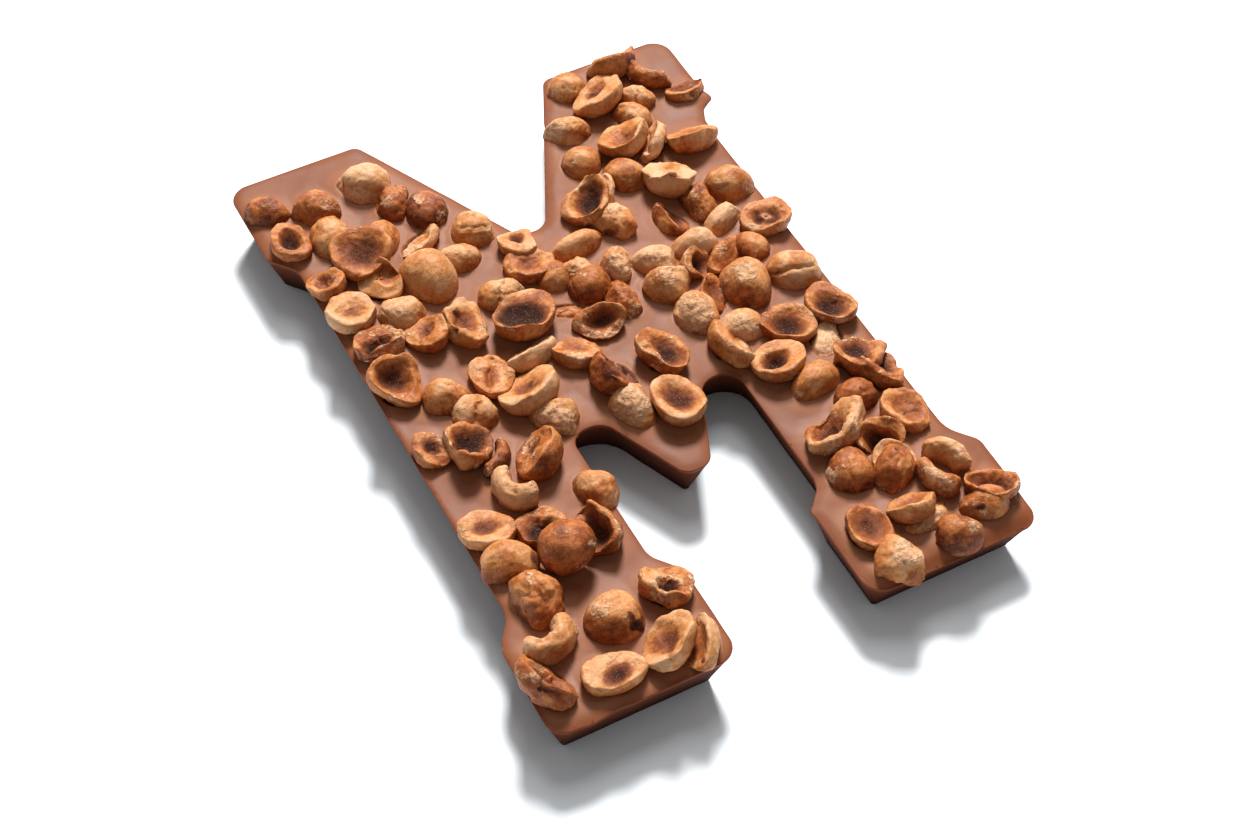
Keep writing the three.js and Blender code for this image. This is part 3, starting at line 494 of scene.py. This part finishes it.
def fine_half(nut):
    """Half a nut, ring by ring from the pole of its round back, over the worn rim and in to
    the middle of its cut face. The back is an oval whose powers of 2.2 add up to 1. The face
    is flat, and falls in the hollow by 1 less the square of the way out, to a power of 1.3.
    Gives the points, how far in the hollow each lies and how near the rim."""
    shape, mean = nut.shape, nut.mean
    depth = mean * shape["body"]
    draws = drawn(nut.number + HALF_SEED, 8)
    back_rings, face_rings = (30, 6) if nut.tilt == DOME_UP else (18, 20)
    worn = mean * (0.07 + 0.05 * draws[0])
    climb = np.linspace(0, math.pi / 2, back_rings)
    back_r = np.sin(climb) ** (2 / BODY_POWER)
    back_z = -worn - (depth - worn) * np.cos(climb) ** (2 / BODY_POWER)
    bend = np.linspace(0, math.pi / 2, 6)[1:]
    rim_r = 1 - worn / mean * (1 - np.cos(bend))
    rim_z = -worn * (1 - np.sin(bend))
    face_r = rim_r[-1] * (1 - np.linspace(0, 1, face_rings + 1)[1:])
    radius = np.concatenate([back_r, rim_r, face_r])[:, None]
    drop = np.concatenate([back_z, rim_z, 0 * face_r])[:, None]
    on_face = np.concatenate([0 * back_r, rise(0.3, 1, np.sin(bend)), 0 * face_r + 1])[:, None]
    turn = round_steps(TURNS)
    points = oval_rings(nut, radius, drop, turn)
    near_rim = rise(0.55, 1, radius) * rise(-0.5, 0, drop / depth) + 0 * turn
    if nut.tilt != DOME_UP:
        ragged = (0.3 + shape["uneven"]) * 0.16 * mean
        waves = zip((1, 0.7, 0.5), (2, 3, 5), draws[1:4])
        points[..., 2] += near_rim * ragged * sum(
            share * np.sin(count * turn + ANY_TURN * draw) for share, count, draw in waves)
    hollow = np.zeros(near_rim.shape)
    if nut.hollowed:
        middle = np.array([0.12 * (draws[4] - 0.5) * nut.long,
                           0.12 * (draws[5] - 0.5) * nut.short])
        reach = shape["reach"] * (0.9 + 0.2 * draws[6])
        fall = shape["hollow"] * mean
        if nut.bowl:
            reach, fall, _, *place = nut.bowl
            if place:
                far = np.abs(in_picture(laid(points, nut)) - place).sum(-1) + 9 * (on_face < 1)
                middle = points[np.unravel_index(far.argmin(), far.shape)][:2]
        wide = np.hypot((points[..., 0] - middle[0]) / (nut.long / 2),
                        (points[..., 1] - middle[1]) / (nut.short / 2)) / half_wave(nut, turn)
        wide = wide * (1 + 0.1 * np.sin(2 * turn + ANY_TURN * draws[7]))
        hollow = on_face * np.clip(1 - (wide / reach) ** 2, 0, 1) ** 1.3
        points[..., 2] -= fall * hollow
    if nut.tilt == DOME_UP:
        points = points * [1, -1, -1]
    return points, hollow, near_rim * on_face


def fine_sliver(nut):
    """A curled sliver, ring by ring along its arc, rounded off at its ends. Its section is an
    oval, flatter on the inner side."""
    along = -np.cos(np.linspace(0, math.pi, 46))[:, None]
    ends = np.sqrt(np.clip(1 - (np.clip(np.abs(along) - 0.86, 0, 1) / 0.14) ** 2, 0, 1))
    turn = round_steps(TURNS)
    across = np.where(np.cos(turn) > 0, 1, 0.75) * np.cos(turn)
    points = arc_rings(nut, along, ends, turn, across)
    inner = rise(0.2, 0.9, -np.cos(turn)) + 0 * along
    return points, 0.6 * inner, rise(0.6, 1, np.sin(turn)) + 0 * along


def shaped(points, nut):
    """A nut with its facets, bites and cuts. A facet brings what lies past a plane, square to
    a chance direction, most of the way back to it. Bites and cuts are seen in the nut's own
    picture. A bite is round, and moves what lies in it out to its edge. A cut is straight,
    square to an angle, and brings what lies past it back to it."""
    middle = (points.min((0, 1)) + points.max((0, 1))) / 2
    for k in range(nut.shape["facets"]):
        round_by, up_by, past_by = drawn(nut.number * 9 + k + FACET_SEED, 3)
        height = -0.2 + 0.9 * up_by
        flat = math.sqrt(1 - height * height)
        angle = FULL_TURN * round_by
        way = np.array([flat * math.cos(angle), flat * math.sin(angle), height])
        along = (points - middle) @ way
        past = np.clip(along - along.max() * (0.8 + 0.12 * past_by), 0, None)
        points = points - 0.75 * min(nut.lumpy, 1) * past[..., None] * way
    for word, sizes in nut.marks:
        seen = in_picture(points)
        if word == "bite":
            step = seen - sizes[:2]
            far = length(step)[..., None]
            wanted = np.maximum(
                far, sizes[2] * (0.55 + 0.45 * np.clip(far / sizes[2], 0, 1) ** 2))
            shift = step / np.maximum(far, 0.02) * (wanted - far)
        elif word == "cut":
            angle = math.radians(sizes[0])
            way = np.array([math.cos(angle), math.sin(angle)])
            shift = -0.85 * np.clip(seen @ way - sizes[1], 0, None)[..., None] * way
        else:
            continue
        flat = points @ PICTURE
        points = points + shift * (flat.max((0, 1)) - flat.min((0, 1))) / 2 @ PICTURE.T
    return points


def dressed_nut(nut):
    """One nut where it lies, with its looks from 0 to 1: roast, which also darkens low down by
    the chocolate as painted shade; burnt, the hollow's own browner inside together
    with painted shade that deepens into it; pale; and crease, painted shade in its folds.
    Lumps of falling size push its surface in and out along its normals, ridges run from tip to
    tip of a dome, and its marks press, raise and colour it where its picture says, a slit also
    darkened along its crack as painted shade."""
    own, hollow, near_rim = fine_sliver(nut) if nut.sliver else fine_half(nut)
    points = pole_closed(laid(own, nut) + main_points(nut)[1])
    rough = nut.shape["rough"]
    folds = np.abs(lumps(points + 13, 3.6)) + 0.5 * np.abs(lumps(points + 19, 1.9))
    out = layers(points, (0.7, 5.0, 0), (0.4, 2.7, 71), (0.2, 1.2, 31), (0.12, 0.7, 57))
    out = (out + 0.6 * np.minimum(folds - 0.3, 0.12)) * rough * nut.lumpy
    if nut.striped:
        way = np.arctan2(np.abs(own[..., 2]), own[..., 1])
        stripes = np.stack([way * 4, own[..., 0] / 7 + nut.number, own[..., 1] / 9], -1)
        out = out + lumps(stripes, 1.0) * 0.12 * (1 - hollow)
    out = out * (1 - 0.6 * hollow) + 0.2 * near_rim * lumps(points + 61, 1.5)
    grit = lumps(points + 67, 0.8)
    wander = np.stack([lumps(points + 23, 2.2), lumps(points + 27, 2.2)], -1)
    points = shaped(points, nut)
    round_step = np.roll(points, -1, 1) - np.roll(points, 1, 1)
    normal = unit(np.cross(round_step, np.gradient(points, axis=0)))
    seen = in_picture(points)
    facing = rise(-0.15, 0.25, normal @ BACK)
    patch = {word: np.zeros(hollow.shape) for word in PATCHES}
    for word, sizes in nut.marks:
        if word == "slit":
            start, end = np.array(sizes[:2]), np.array(sizes[2:4])
            step = end - start
            place = seen + 0.12 * wander - start
            share = np.clip((place @ step) / (step @ step), 0, 1)
            far = length(place - share[..., None] * step)
            mask = np.exp(-(far / sizes[4]) ** 2) * facing
            mask = mask * (0.6 + 0.4 * rise(-0.3, 0.2, wander[..., 1]))
            out = out - sizes[5] * mask
            # Painted shade in the crack: a slit is darkened along its length.
            patch["dark"] = np.maximum(patch["dark"], 4.5 * sizes[4] * mask)
        elif word in PATCHES or word in ("dent", "knob"):
            far = length(seen + 0.15 * wander - sizes[:2])
            mask = np.exp(-(far / sizes[2]) ** 3) * facing
            if word in PATCHES:
                strength = (sizes + [PATCHES[word]])[3]
                patch[word] = np.maximum(patch[word], strength * mask)
            else:
                out = out + sizes[3] * mask * (1 if word == "knob" else -1)
    pale, dark, warm, cream = patch.values()
    points = pole_closed(points + normal * (out + 0.13 * pale * grit)[..., None])
    mottle = layers(points, (0.5, 3.2, 17), (0.3, 1.4, 29))
    broad = rise(-0.12, 0.12, layers(points, (1, 4.2, 117), (0.4, 1.4, 119))) - 0.5
    # Painted shade: the roast rises low down, where the nut meets the chocolate.
    low = 1 - rise(0, 5, points[..., 2] - THICKNESS)
    roast = nut.roast / DARKEST_ROAST + 0.1 * mottle + 0.2 * broad * (1 - hollow) + warm - cream
    roast = roast + 0.18 * low * (1 - 0.6 * pale)
    # Partly the hollow's own browner inside, partly painted shade: the roast and burnt both rise
    # with the hollow's depth.
    if nut.tilt != DOME_UP:
        roast = roast + 0.22 * rise(0.05, 0.6, hollow) - 0.08 * near_rim
    burnt = nut.burn * hollow * (0.56 + 0.04 * nut.roast) + 0.2 * mottle * hollow
    burnt = burnt * (1 - np.clip(1.5 * cream, 0, 1))
    burnt = np.maximum(burnt, 0.75 * dark * (1 + 0.8 * mottle))
    rubbed = rise(0.25, 0.6, layers(points, (1, 4.5, 43), (0.4, 1.3, 47)))
    rubbed = rubbed * (1 - hollow) * 0.7 * rough
    pale = np.clip(np.maximum(pale * (0.85 + 0.5 * mottle), rubbed), 0, 1)
    # Painted shade: marks the pressed-in folds, which the flesh's tone darkens.
    crease = rise(0.16, 0.02, folds) * rise(-0.2, 0.4, lumps(points + 83, 5)) * (1 - hollow)
    return points, dict(roast=np.clip(roast, 0, 1), burnt=np.clip(burnt, 0, 1), pale=pale,
                        crease=crease)


def ring_squares(rings, count):
    """Squares between closed rings of points that are counted ring by ring."""
    here = np.arange(count)
    after = (here + 1) % count
    start = np.arange(rings - 1)[:, None] * count
    return np.stack([start + here, start + after, start + count + after,
                     start + count + here], -1).reshape(-1, 4)


def grid_faces(rings, turns):
    """Faces of a closed skin whose first and last rings are poles: squares between the rings
    and a fan at each pole."""
    here = np.arange(turns)
    after = (here + 1) % turns
    last = 1 + (rings - 3) * turns
    low_fan = np.stack([0 * here, 1 + after, 1 + here], -1)
    high_fan = np.stack([0 * here + last + turns, last + here, last + after], -1)
    return ring_squares(rings - 2, turns) + 1, np.concatenate([low_fan, high_fan])


def skin(grid):
    """A grid's values with each pole ring as one value."""
    flat = grid.reshape(grid.shape[0], grid.shape[1], -1)
    inner = flat[1:-1].reshape(-1, flat.shape[-1])
    return np.concatenate([flat[:1, 0], inner, flat[-1:, 0]])


def added(name, data):
    """A new object in the scene for a mesh, a light or a camera."""
    thing = bpy.data.objects.new(name, data)
    bpy.context.scene.collection.objects.link(thing)
    return thing


def into_blender(name, points, squares, triangles, looks, material):
    """A mesh piece in metres, its looks as attributes of its points, smooth all over."""
    mesh = bpy.data.meshes.new(name)
    mesh.from_pydata(points * MM, [], squares.tolist() + triangles.tolist())
    mesh.shade_smooth()
    mesh.validate()
    for look, values in looks.items():
        mesh.attributes.new(look, "FLOAT", "POINT").data.foreach_set("value", values)
    mesh.materials.append(material)
    return added(name, mesh)


def outline_at(inset):
    """The closed outline, drawn in by a given amount: every straight is moved square to
    itself, every corner is rounded by an arc, smaller outside and larger inside, and each
    straight is divided the same at every amount."""
    corners = np.array(HALF_CORNERS + [(-x, y, r) for x, y, r in HALF_CORNERS[::-1]])
    place, radius = corners[:, :2], corners[:, 2]
    along = np.roll(place, -1, 0) - place
    straights = length(along)
    along = unit(along)
    before = np.roll(along, 1, 0)
    turn = before[:, 0] * along[:, 1] - before[:, 1] * along[:, 0]
    moved = place + (before - along) * (-inset / turn)[:, None]
    tip = place[:, 1] == VEE_TIP
    moved[tip, 0] = np.sign(place[tip, 0]) * np.maximum(np.abs(moved[tip, 0]), LEAST_TIP_HALF)
    back = np.roll(moved, 1, 0) - moved
    ahead = np.roll(moved, -1, 0) - moved
    room = MOST_REACH * np.minimum(length(back), length(ahead))
    back, ahead = unit(back), unit(ahead)
    convex = ahead[:, 0] * back[:, 1] - ahead[:, 1] * back[:, 0] > 0
    wanted = np.maximum(radius + np.where(convex, -inset, inset), LEAST_FILLET)
    half = np.arccos(np.clip((back * ahead).sum(1), -1, 1)) / 2
    reach = np.minimum(wanted / np.tan(half), room)
    centre = moved + unit(back + ahead) * (reach / np.cos(half))[:, None]
    start = moved + back * reach[:, None] - centre
    sweep = np.where(convex, 1, -1) * (math.pi - 2 * half)
    angle = (np.arctan2(start[:, 1], start[:, 0])[:, None]
             + sweep[:, None] * np.linspace(0, 1, ARC_STEPS + 1))
    size = length(start)[:, None]
    arcs = centre[:, None] + np.stack([size * np.cos(angle), size * np.sin(angle)], -1)
    ring = []
    for arc, next_arc, straight in zip(arcs, np.roll(arcs, -1, 0), straights):
        steps = max(int(straight / STRAIGHT_STEP), 2)
        share = (np.arange(1, steps) / steps)[:, None]
        ring += [arc, arc[-1] + (next_arc[0] - arc[-1]) * share]
    return np.concatenate(ring)


def sector(steps):
    """Which way steps point, counted in sectors of the round."""
    return (np.arctan2(steps[:, 1], steps[:, 0]) + math.pi) / (2 * math.pi) * SECTORS


def round_the_nuts(places, lying):
    """How the chocolate's surface meets the nuts at each place: how close a nut's waterline
    is, as a narrow and a wide bell of the distance, and how deep under a nut the place lies,
    by its share of the way out from the nut's middle to its waterline."""
    narrow, wide, under = np.zeros((3, len(places)))
    for points, hollowed in lying:
        line = points[np.abs(points[:, 2] - THICKNESS - WATERLINE) < WATER_BAND][:, :2]
        middle = (line.min(0) + line.max(0)) / 2
        spread = length(line - middle)
        away = length(places - middle)
        near = np.flatnonzero(away < spread.max() + 2 * WIDE_REACH)
        far = length(places[near, None] - line[None, ::2]).min(1)
        if hollowed:
            limit = np.full(SECTORS, spread.mean())
            np.maximum.at(limit, np.round(sector(line - middle)).astype(int) % SECTORS, spread)
            edge = np.interp(sector(places[near] - middle), np.arange(SECTORS + 1),
                             np.append(limit, limit[0]))
            share = away[near] / edge
            under[near] = np.maximum(under[near], 1 - rise(0.62, 0.92, share))
            far = np.where(share < 0.9, 0, far)
        for bell, reach in ((narrow, NARROW_REACH), (wide, WIDE_REACH)):
            bell[near] = np.maximum(bell[near], np.exp(-(far / reach) ** 1.5))
    return narrow, wide, under


def within(ring, places):
    """Which places lie inside a closed ring: a line from each crosses it an odd number of
    times."""
    odd = np.zeros(len(places), bool)
    for first, last in zip(ring, np.roll(ring, -1, 0)):
        if first[1] != last[1]:
            spans = (first[1] > places[:, 1]) != (last[1] > places[:, 1])
            slope = (last[0] - first[0]) / (last[1] - first[1])
            odd ^= spans & (places[:, 0] < first[0] + (places[:, 1] - first[1]) * slope)
    return odd


def rim_away(ring, places):
    """Distance from each place to the nearest point of a ring."""
    near = np.full(len(places), np.inf)
    for point in ring:
        near = np.minimum(near, ((places - point) ** 2).sum(1))
    return np.sqrt(near)


def filled_face(ring, step):
    """A flat face inside a ring: a square net of points, a little out of true, joined up to
    the ring, or the ring's own points alone where the step is 0. Gives the net's places and
    the triangles, which count the ring's points first."""
    net = np.zeros((0, 2))
    if step:
        axes = [np.arange(low, high, step) for low, high in zip(ring.min(0), ring.max(0))]
        net = np.stack(np.meshgrid(*axes, indexing="ij"), -1).reshape(-1, 2)
        net = net + np.random.default_rng(5).uniform(-0.12, 0.12, net.shape) * step
        net = net[within(ring, net)]
        net = net[rim_away(ring, net) > 0.75 * step]
    places = np.concatenate([ring, net])
    edges = [(k, (k + 1) % len(ring)) for k in range(len(ring))]
    coords, _, faces, *_ = delaunay_2d_cdt(
        [Vector(place) for place in places.tolist()], edges, [], 1, 1e-6)
    if len(coords) != len(places):
        raise RuntimeError("a face's points were changed when they were joined")
    return net, np.array(faces)


def edge_fall(places, edge):
    """How far the poured top falls by its rim, by the square of the way to it: 0.2 mm within
    1.8 mm all round, and more over a broader slope at the right foot."""
    broad = rise(-66, -80, places[:, 1]) * rise(12, 26, places[:, 0])
    way = np.clip(1 - edge / (1.8 + 4 * broad), 0, 1)
    return (0.2 + 1.3 * broad) * way ** 2


def chocolate_letter(lying, material):
    """The letter in one closed skin. Its wall is a profile carried round the outline: a worn
    base edge, a straight side that draws in downwards and a small round lip. Its poured top
    is a net of points that waves a little and climbs where nuts are pressed in."""
    bend = np.linspace(0, math.pi / 2, 5)
    up, out = 1 - np.sin(bend), 1 - np.cos(bend)
    straight = np.linspace(BASE_ROUND, THICKNESS - LIP_ROUND, 14)[1:]
    levels = np.concatenate([BASE_ROUND * up[::-1], straight, THICKNESS - LIP_ROUND * up[1:]])
    insets = np.concatenate([DRAFT * (1 - BASE_ROUND / THICKNESS) + BASE_ROUND * out[::-1],
                             DRAFT * (1 - straight / THICKNESS), LIP_ROUND * out[1:]])
    rings = []
    for z, inset in zip(levels, insets):
        ring = outline_at(inset)
        toward = np.roll(ring, -1, 0) - np.roll(ring, 1, 0)
        shift = sum(amount * np.exp(-(((ring - (x, y)) ** 2).sum(1) / reach ** 2))
                    for x, y, amount, reach in RIM_MARKS)
        shift = shift * rise(THICKNESS - 5, THICKNESS, z)
        shift = shift + 0.06 * lumps(np.column_stack([ring, 0 * shift + z / 4]), 6.0)
        ring = ring + unit(np.stack([toward[:, 1], -toward[:, 0]], -1)) * shift[:, None]
        low = edge_fall(ring, 0 * shift) * (z / THICKNESS) ** 3
        rings.append(np.column_stack([ring, z - low]))
    count = len(ring)
    rim = rings[-1][:, :2]
    places, top_faces = filled_face(rim, TOP_STEP)
    narrow, wide, under = round_the_nuts(places, lying)
    climb = NARROW_CLIMB * narrow + WIDE_CLIMB * wide - DIP * under
    sway = layers(np.column_stack([places, 0 * climb]), (0.25, 16.0, 0), (0.1, 6.0, 40),
                  (0.02, 2.5, 90))
    edge = rim_away(rim, places)
    fall = edge_fall(places, edge)
    height = THICKNESS + (climb + sway) * rise(0, 2.5, edge) - fall
    points = np.concatenate(rings + [np.column_stack([places, height])])
    base_faces = filled_face(rings[0][:, :2], 0)[1]
    triangles = np.concatenate([base_faces[:, ::-1], top_faces + (len(rings) - 1) * count])
    level = np.repeat(levels, count)
    # Masks for the colouring: side and deep carry the side's painted shade, lip the lip's tint
    # and painted shade, near the painted light by the nuts.
    looks = dict(side=[1 - rise(THICKNESS - 2.2, THICKNESS - 0.3, level), 0 * edge],
                 deep=[1 - level / THICKNESS, 0 * edge],
                 lip=[rise(THICKNESS - 3, THICKNESS - 0.5, level),
                      np.maximum(1 - rise(0.2, 1.3, edge), rise(0, 0.9, fall))],
                 near=[0 * level, wide])
    looks = {look: np.concatenate(wall_and_top) for look, wall_and_top in looks.items()}
    return into_blender("chocolate_letter_poured", points, ring_squares(len(rings), count),
                        triangles, looks, material)


def colour(red, green, blue):
    """A colour for a shader from how it looks on a screen, 0 to 255 each."""
    return (*(Color((red, green, blue)) / 255).from_srgb_to_scene_linear(), 1)


class Finish:
    """A material in the making, with short ways to add its steps."""

    def __init__(self, name):
        self.material = bpy.data.materials.new(name)
        self.material.use_nodes = True
        self.tree = self.material.node_tree
        self.place = self.step("TexCoord", {}, "Object")

    def put(self, node, inputs):
        """Links or sets a node's inputs, which are given by name or number."""
        for name, value in inputs.items():
            if isinstance(value, bpy.types.NodeSocket):
                self.tree.links.new(value, node.inputs[name])
            else:
                node.inputs[name].default_value = value

    def step(self, kind, inputs, output=0, **settings):
        node = self.tree.nodes.new("ShaderNode" + kind)
        for setting, value in settings.items():
            setattr(node, setting, value)
        self.put(node, inputs)
        return node.outputs[output]

    def look(self, name):
        return self.step("Attribute", {}, "Fac", attribute_name=name)

    def grain(self, scale, detail=3, roughness=0.55):
        return self.step("TexNoise", {"Vector": self.place, "Scale": scale, "Detail": detail,
                                      "Roughness": roughness})

    def specks(self, scale):
        return self.step("TexVoronoi", {"Vector": self.place, "Scale": scale})

    def add(self, first, second, kind="ADD"):
        return self.step("Math", {0: first, 1: second}, operation=kind)

    def times(self, first, second):
        return self.add(first, second, "MULTIPLY")

    def between(self, *value_and_ranges):
        return self.step("MapRange", dict(enumerate(value_and_ranges)),
                         interpolation_type="SMOOTHSTEP")

    def varied(self, value, grain, amount):
        return self.add(value, self.between(grain, 0.3, 0.7, -amount, amount))

    def mix(self, share, first, second):
        return self.step("Mix", {0: share, 6: first, 7: second}, 2, data_type="RGBA")

    def ramp(self, share, *stops):
        """Colours from stop to stop, each given by its place and its red, green and blue."""
        tint = self.step("ValToRGB", {"Fac": share})
        marks = tint.node.color_ramp.elements
        while len(marks) < len(stops):
            marks.new(1.0)
        for mark, (place, *screen) in zip(marks, stops):
            mark.position = place
            mark.color = colour(*screen)
        return tint

    def bump(self, height, strength, distance, before=None):
        inputs = {"Height": height, "Strength": strength, "Distance": distance}
        if before is not None:
            inputs["Normal"] = before
        return self.step("Bump", inputs)

    def done(self, inputs):
        self.put(self.tree.nodes["Principled BSDF"], inputs)
        return self.material


def roasted_hazelnut():
    """Oily roasted nut flesh: cream to brown by its roast, darker in its folds as painted shade,
    browner in the hollows by their own colour and by painted shade, with pale crumbs there that
    are partly painted glints, and rough pale patches where it is rubbed."""
    finish = Finish("roasted_hazelnut_flesh")
    blotch = finish.grain(260, 4)
    mottle = finish.grain(900, 4, 0.6)
    fine = finish.grain(2400, 3, 0.6)
    tone = roast = finish.look("roast")
    for grain, amount in ((blotch, 0.09), (mottle, 0.1), (fine, 0.06)):
        tone = finish.varied(tone, grain, amount)
    # Painted shade: darker in the nut's folds.
    tone = finish.add(tone, finish.between(finish.look("crease"), 0, 1, 0, 0.16))
    flesh = finish.ramp(tone, (0.0, 204, 159, 120), (0.2, 195, 139, 92), (0.4, 180, 115, 62),
                        (0.6, 159, 88, 41), (0.8, 128, 64, 29), (1.0, 83, 38, 20))
    worn = finish.ramp(mottle, (0.25, 163, 112, 77), (0.5, 199, 151, 113),
                       (0.75, 222, 184, 148))
    pale = finish.between(finish.varied(finish.look("pale"), mottle, 0.3), 0.35, 0.85)
    flesh = finish.mix(finish.times(pale, 0.85), flesh, worn)
    scuffs = finish.between(finish.grain(1500, 6, 0.7), 0.52, 0.66, 0, 0.5)
    scuffs = finish.times(scuffs, finish.between(roast, 0.3, 0.8, 1, 0.2))
    flesh = finish.mix(scuffs, flesh, colour(203, 161, 123))
    burnt = finish.varied(finish.look("burnt"), mottle, 0.08)
    # The hollows' own browner inside together with painted shade that deepens into them.
    toasted_and_shaded = finish.ramp(burnt, (0.1, 162, 99, 57), (0.4, 126, 68, 36), (0.65, 88, 43, 23),
                          (0.9, 50, 24, 14))
    flesh = finish.mix(finish.between(burnt, 0.12, 0.5), flesh, toasted_and_shaded)
    # Pale crumbs in the hollows, partly painted glints.
    crumbs_and_glints = finish.between(finish.specks(2600), 0.12, 0.2, 1, 0)
    crumbs_and_glints = finish.times(crumbs_and_glints, finish.between(burnt, 0.4, 0.7, 0, 0.7))
    flesh = finish.mix(crumbs_and_glints, flesh, colour(200, 152, 108))
    gloss = finish.add(finish.between(pale, 0, 1, 0.48, 0.72),
                       finish.between(burnt, 0.2, 0.8, 0, 0.4))
    rough = finish.between(pale, 0, 1, 0.6, 1.3)
    relief = finish.bump(finish.times(mottle, rough), 0.55, 0.0006)
    relief = finish.bump(finish.times(fine, rough), 0.5, 0.0003, relief)
    return finish.done({"Base Color": flesh, "Roughness": gloss, "Specular IOR Level": 0.17,
                        "Subsurface Weight": 0.08, "Subsurface Radius": (1, 0.5, 0.25),
                        "Subsurface Scale": 0.0012, "Normal": relief})


def milk_chocolate():
    """Milk chocolate set from a pour: satin and a little uneven in tone. Its lip is warmer,
    partly an orange lip and partly painted shade where the rim rounds and the right foot's top
    falls away. It is paler and greyer where it climbs a nut, as painted light and sheen. Its
    moulded side is darker, partly its own finish and partly painted shade that deepens towards
    the base."""
    finish = Finish("milk_chocolate_satin")
    cloud = finish.grain(90, 4)
    side = finish.look("side")
    # Painted light and sheen: paler and greyer where the chocolate climbs a nut.
    near = finish.between(finish.look("near"), 0.1, 0.8, 0, 0.5)
    specks = finish.between(finish.specks(420), 0.03, 0.05, 0.35, 0)
    # Partly the moulded face's own darker finish, partly painted shade that darkens the side
    # towards the base.
    moulded = finish.mix(finish.look("deep"), colour(92, 42, 20), colour(40, 13, 5))
    body = finish.ramp(cloud, (0.3, 115, 65, 38), (0.5, 120, 68, 40), (0.7, 125, 72, 43))
    body = finish.mix(near, body, colour(150, 98, 68))
    # Partly an orange lip, partly painted shade where the rim rounds over and where the right
    # foot's top falls away.
    body = finish.mix(finish.times(finish.look("lip"), 0.6), body, colour(118, 61, 35))
    body = finish.mix(side, body, moulded)
    body = finish.mix(specks, body, colour(150, 112, 92))
    satin = finish.add(finish.between(cloud, 0.3, 0.7, 0.44, 0.52), finish.times(side, 0.4))
    relief = finish.bump(finish.grain(700, 3), 0.12, 0.0002)
    return finish.done({"Base Color": body, "Roughness": satin, "Specular IOR Level": 0.12,
                        "Normal": relief})


def best_node(points, nodes):
    """The node whose corners hold most of a nut's main points."""
    flat = points.reshape(-1, 3)
    low, high = flat.min(0) - 0.1, flat.max(0) + 0.1
    counts = {}
    for name, corners in nodes.items():
        close = corners[((corners > low) & (corners < high)).all(1)]
        if len(close):
            far = length(flat[:, None] - close).min(1)
            counts[name] = int((far < SAME_POINT).sum())
    return max(counts, key=counts.get)


def joined(parts):
    """Several nuts as the points, faces and looks of one piece."""
    ready, first = [], 0
    for grid, looks in parts:
        flat = skin(grid)
        squares, fans = grid_faces(*grid.shape[:2])
        ready.append([flat, squares + first, fans + first]
                     + [skin(values)[:, 0] for values in looks.values()])
        first += len(flat)
    points, squares, fans, *values = map(np.concatenate, zip(*ready))
    return points, squares, fans, dict(zip(looks, values))


def node_corners():
    """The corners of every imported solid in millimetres."""
    found = {}
    for name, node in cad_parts.items():
        flat = np.zeros(3 * len(node.data.vertices))
        node.data.vertices.foreach_get("co", flat)
        found[name] = flat.reshape(-1, 3) / MM
    return found


flesh = roasted_hazelnut()
chocolate = milk_chocolate()
corners = node_corners()
gathered = {}
lying = []
for nut in nuts:
    node = best_node(main_points(nut)[0], corners)
    dressed = dressed_nut(nut)
    gathered.setdefault(node, []).append(dressed)
    lying.append((dressed[0].reshape(-1, 3), nut.hollowed))

for node, parts in gathered.items():
    lone = node == "chocolate_letter"
    name = "small_hazelnuts" if lone else node + "_roasted"
    piece = into_blender(name, *joined(parts), flesh)
    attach(piece, "root")
    if not lone:
        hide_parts(node)

letter = chocolate_letter(lying, chocolate)
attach(letter, "root")
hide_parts("chocolate_letter")


def pale_floor():
    """A wide pale floor just under the letter."""
    finish = Finish("pale_floor")
    tint = finish.ramp(finish.grain(3, 2), (0.3, 242, 247, 250), (0.7, 244, 249, 252))
    material = finish.done({"Base Color": tint, "Roughness": 1, "Specular IOR Level": 0})
    points = np.array([[-1, -1, 0], [1, -1, 0], [1, 1, 0], [-1, 1, 0]]) * FLOOR_HALF
    floor = into_blender("floor", points - [0, 0, FLOOR_DROP], np.array([[0, 1, 2, 3]]),
                         np.zeros((0, 3), int), {}, material)


def studio():
    """Floor, a main light from behind and a weaker one above it, both turned to the letter,
    soft light all round and the camera."""
    pale_floor()
    for name, elevation, size, power in LAMPS:
        data = bpy.data.lights.new(name, "AREA")
        data.size, data.energy = size, power
        light = added(name, data)
        turn = Euler((math.radians(90 - elevation), 0, math.radians(90 + LAMP_AZIMUTH)))
        light.rotation_euler = turn
        light.location = turn.to_matrix() @ Vector((0, 0, LAMP_DISTANCE))
    world = bpy.data.worlds.new("soft_room")
    world.use_nodes = True
    background = world.node_tree.nodes["Background"]
    background.inputs["Color"].default_value = (1, 1, 1, 1)
    background.inputs["Strength"].default_value = 0.29
    scene = bpy.context.scene
    scene.world = world
    scene.view_settings.view_transform = "Standard"
    scene.view_settings.look = "None"
    data = bpy.data.cameras.new("camera")
    data.lens = FOCAL_LENGTH
    data.sensor_width = SENSOR_WIDTH
    data.clip_end = 100
    scene.camera = added("camera", data)
    axes = Matrix([RIGHT, UP, BACK]).transposed().to_4x4()
    scene.camera.matrix_world = Matrix.Translation(Vector(EYE * MM)) @ axes


studio()
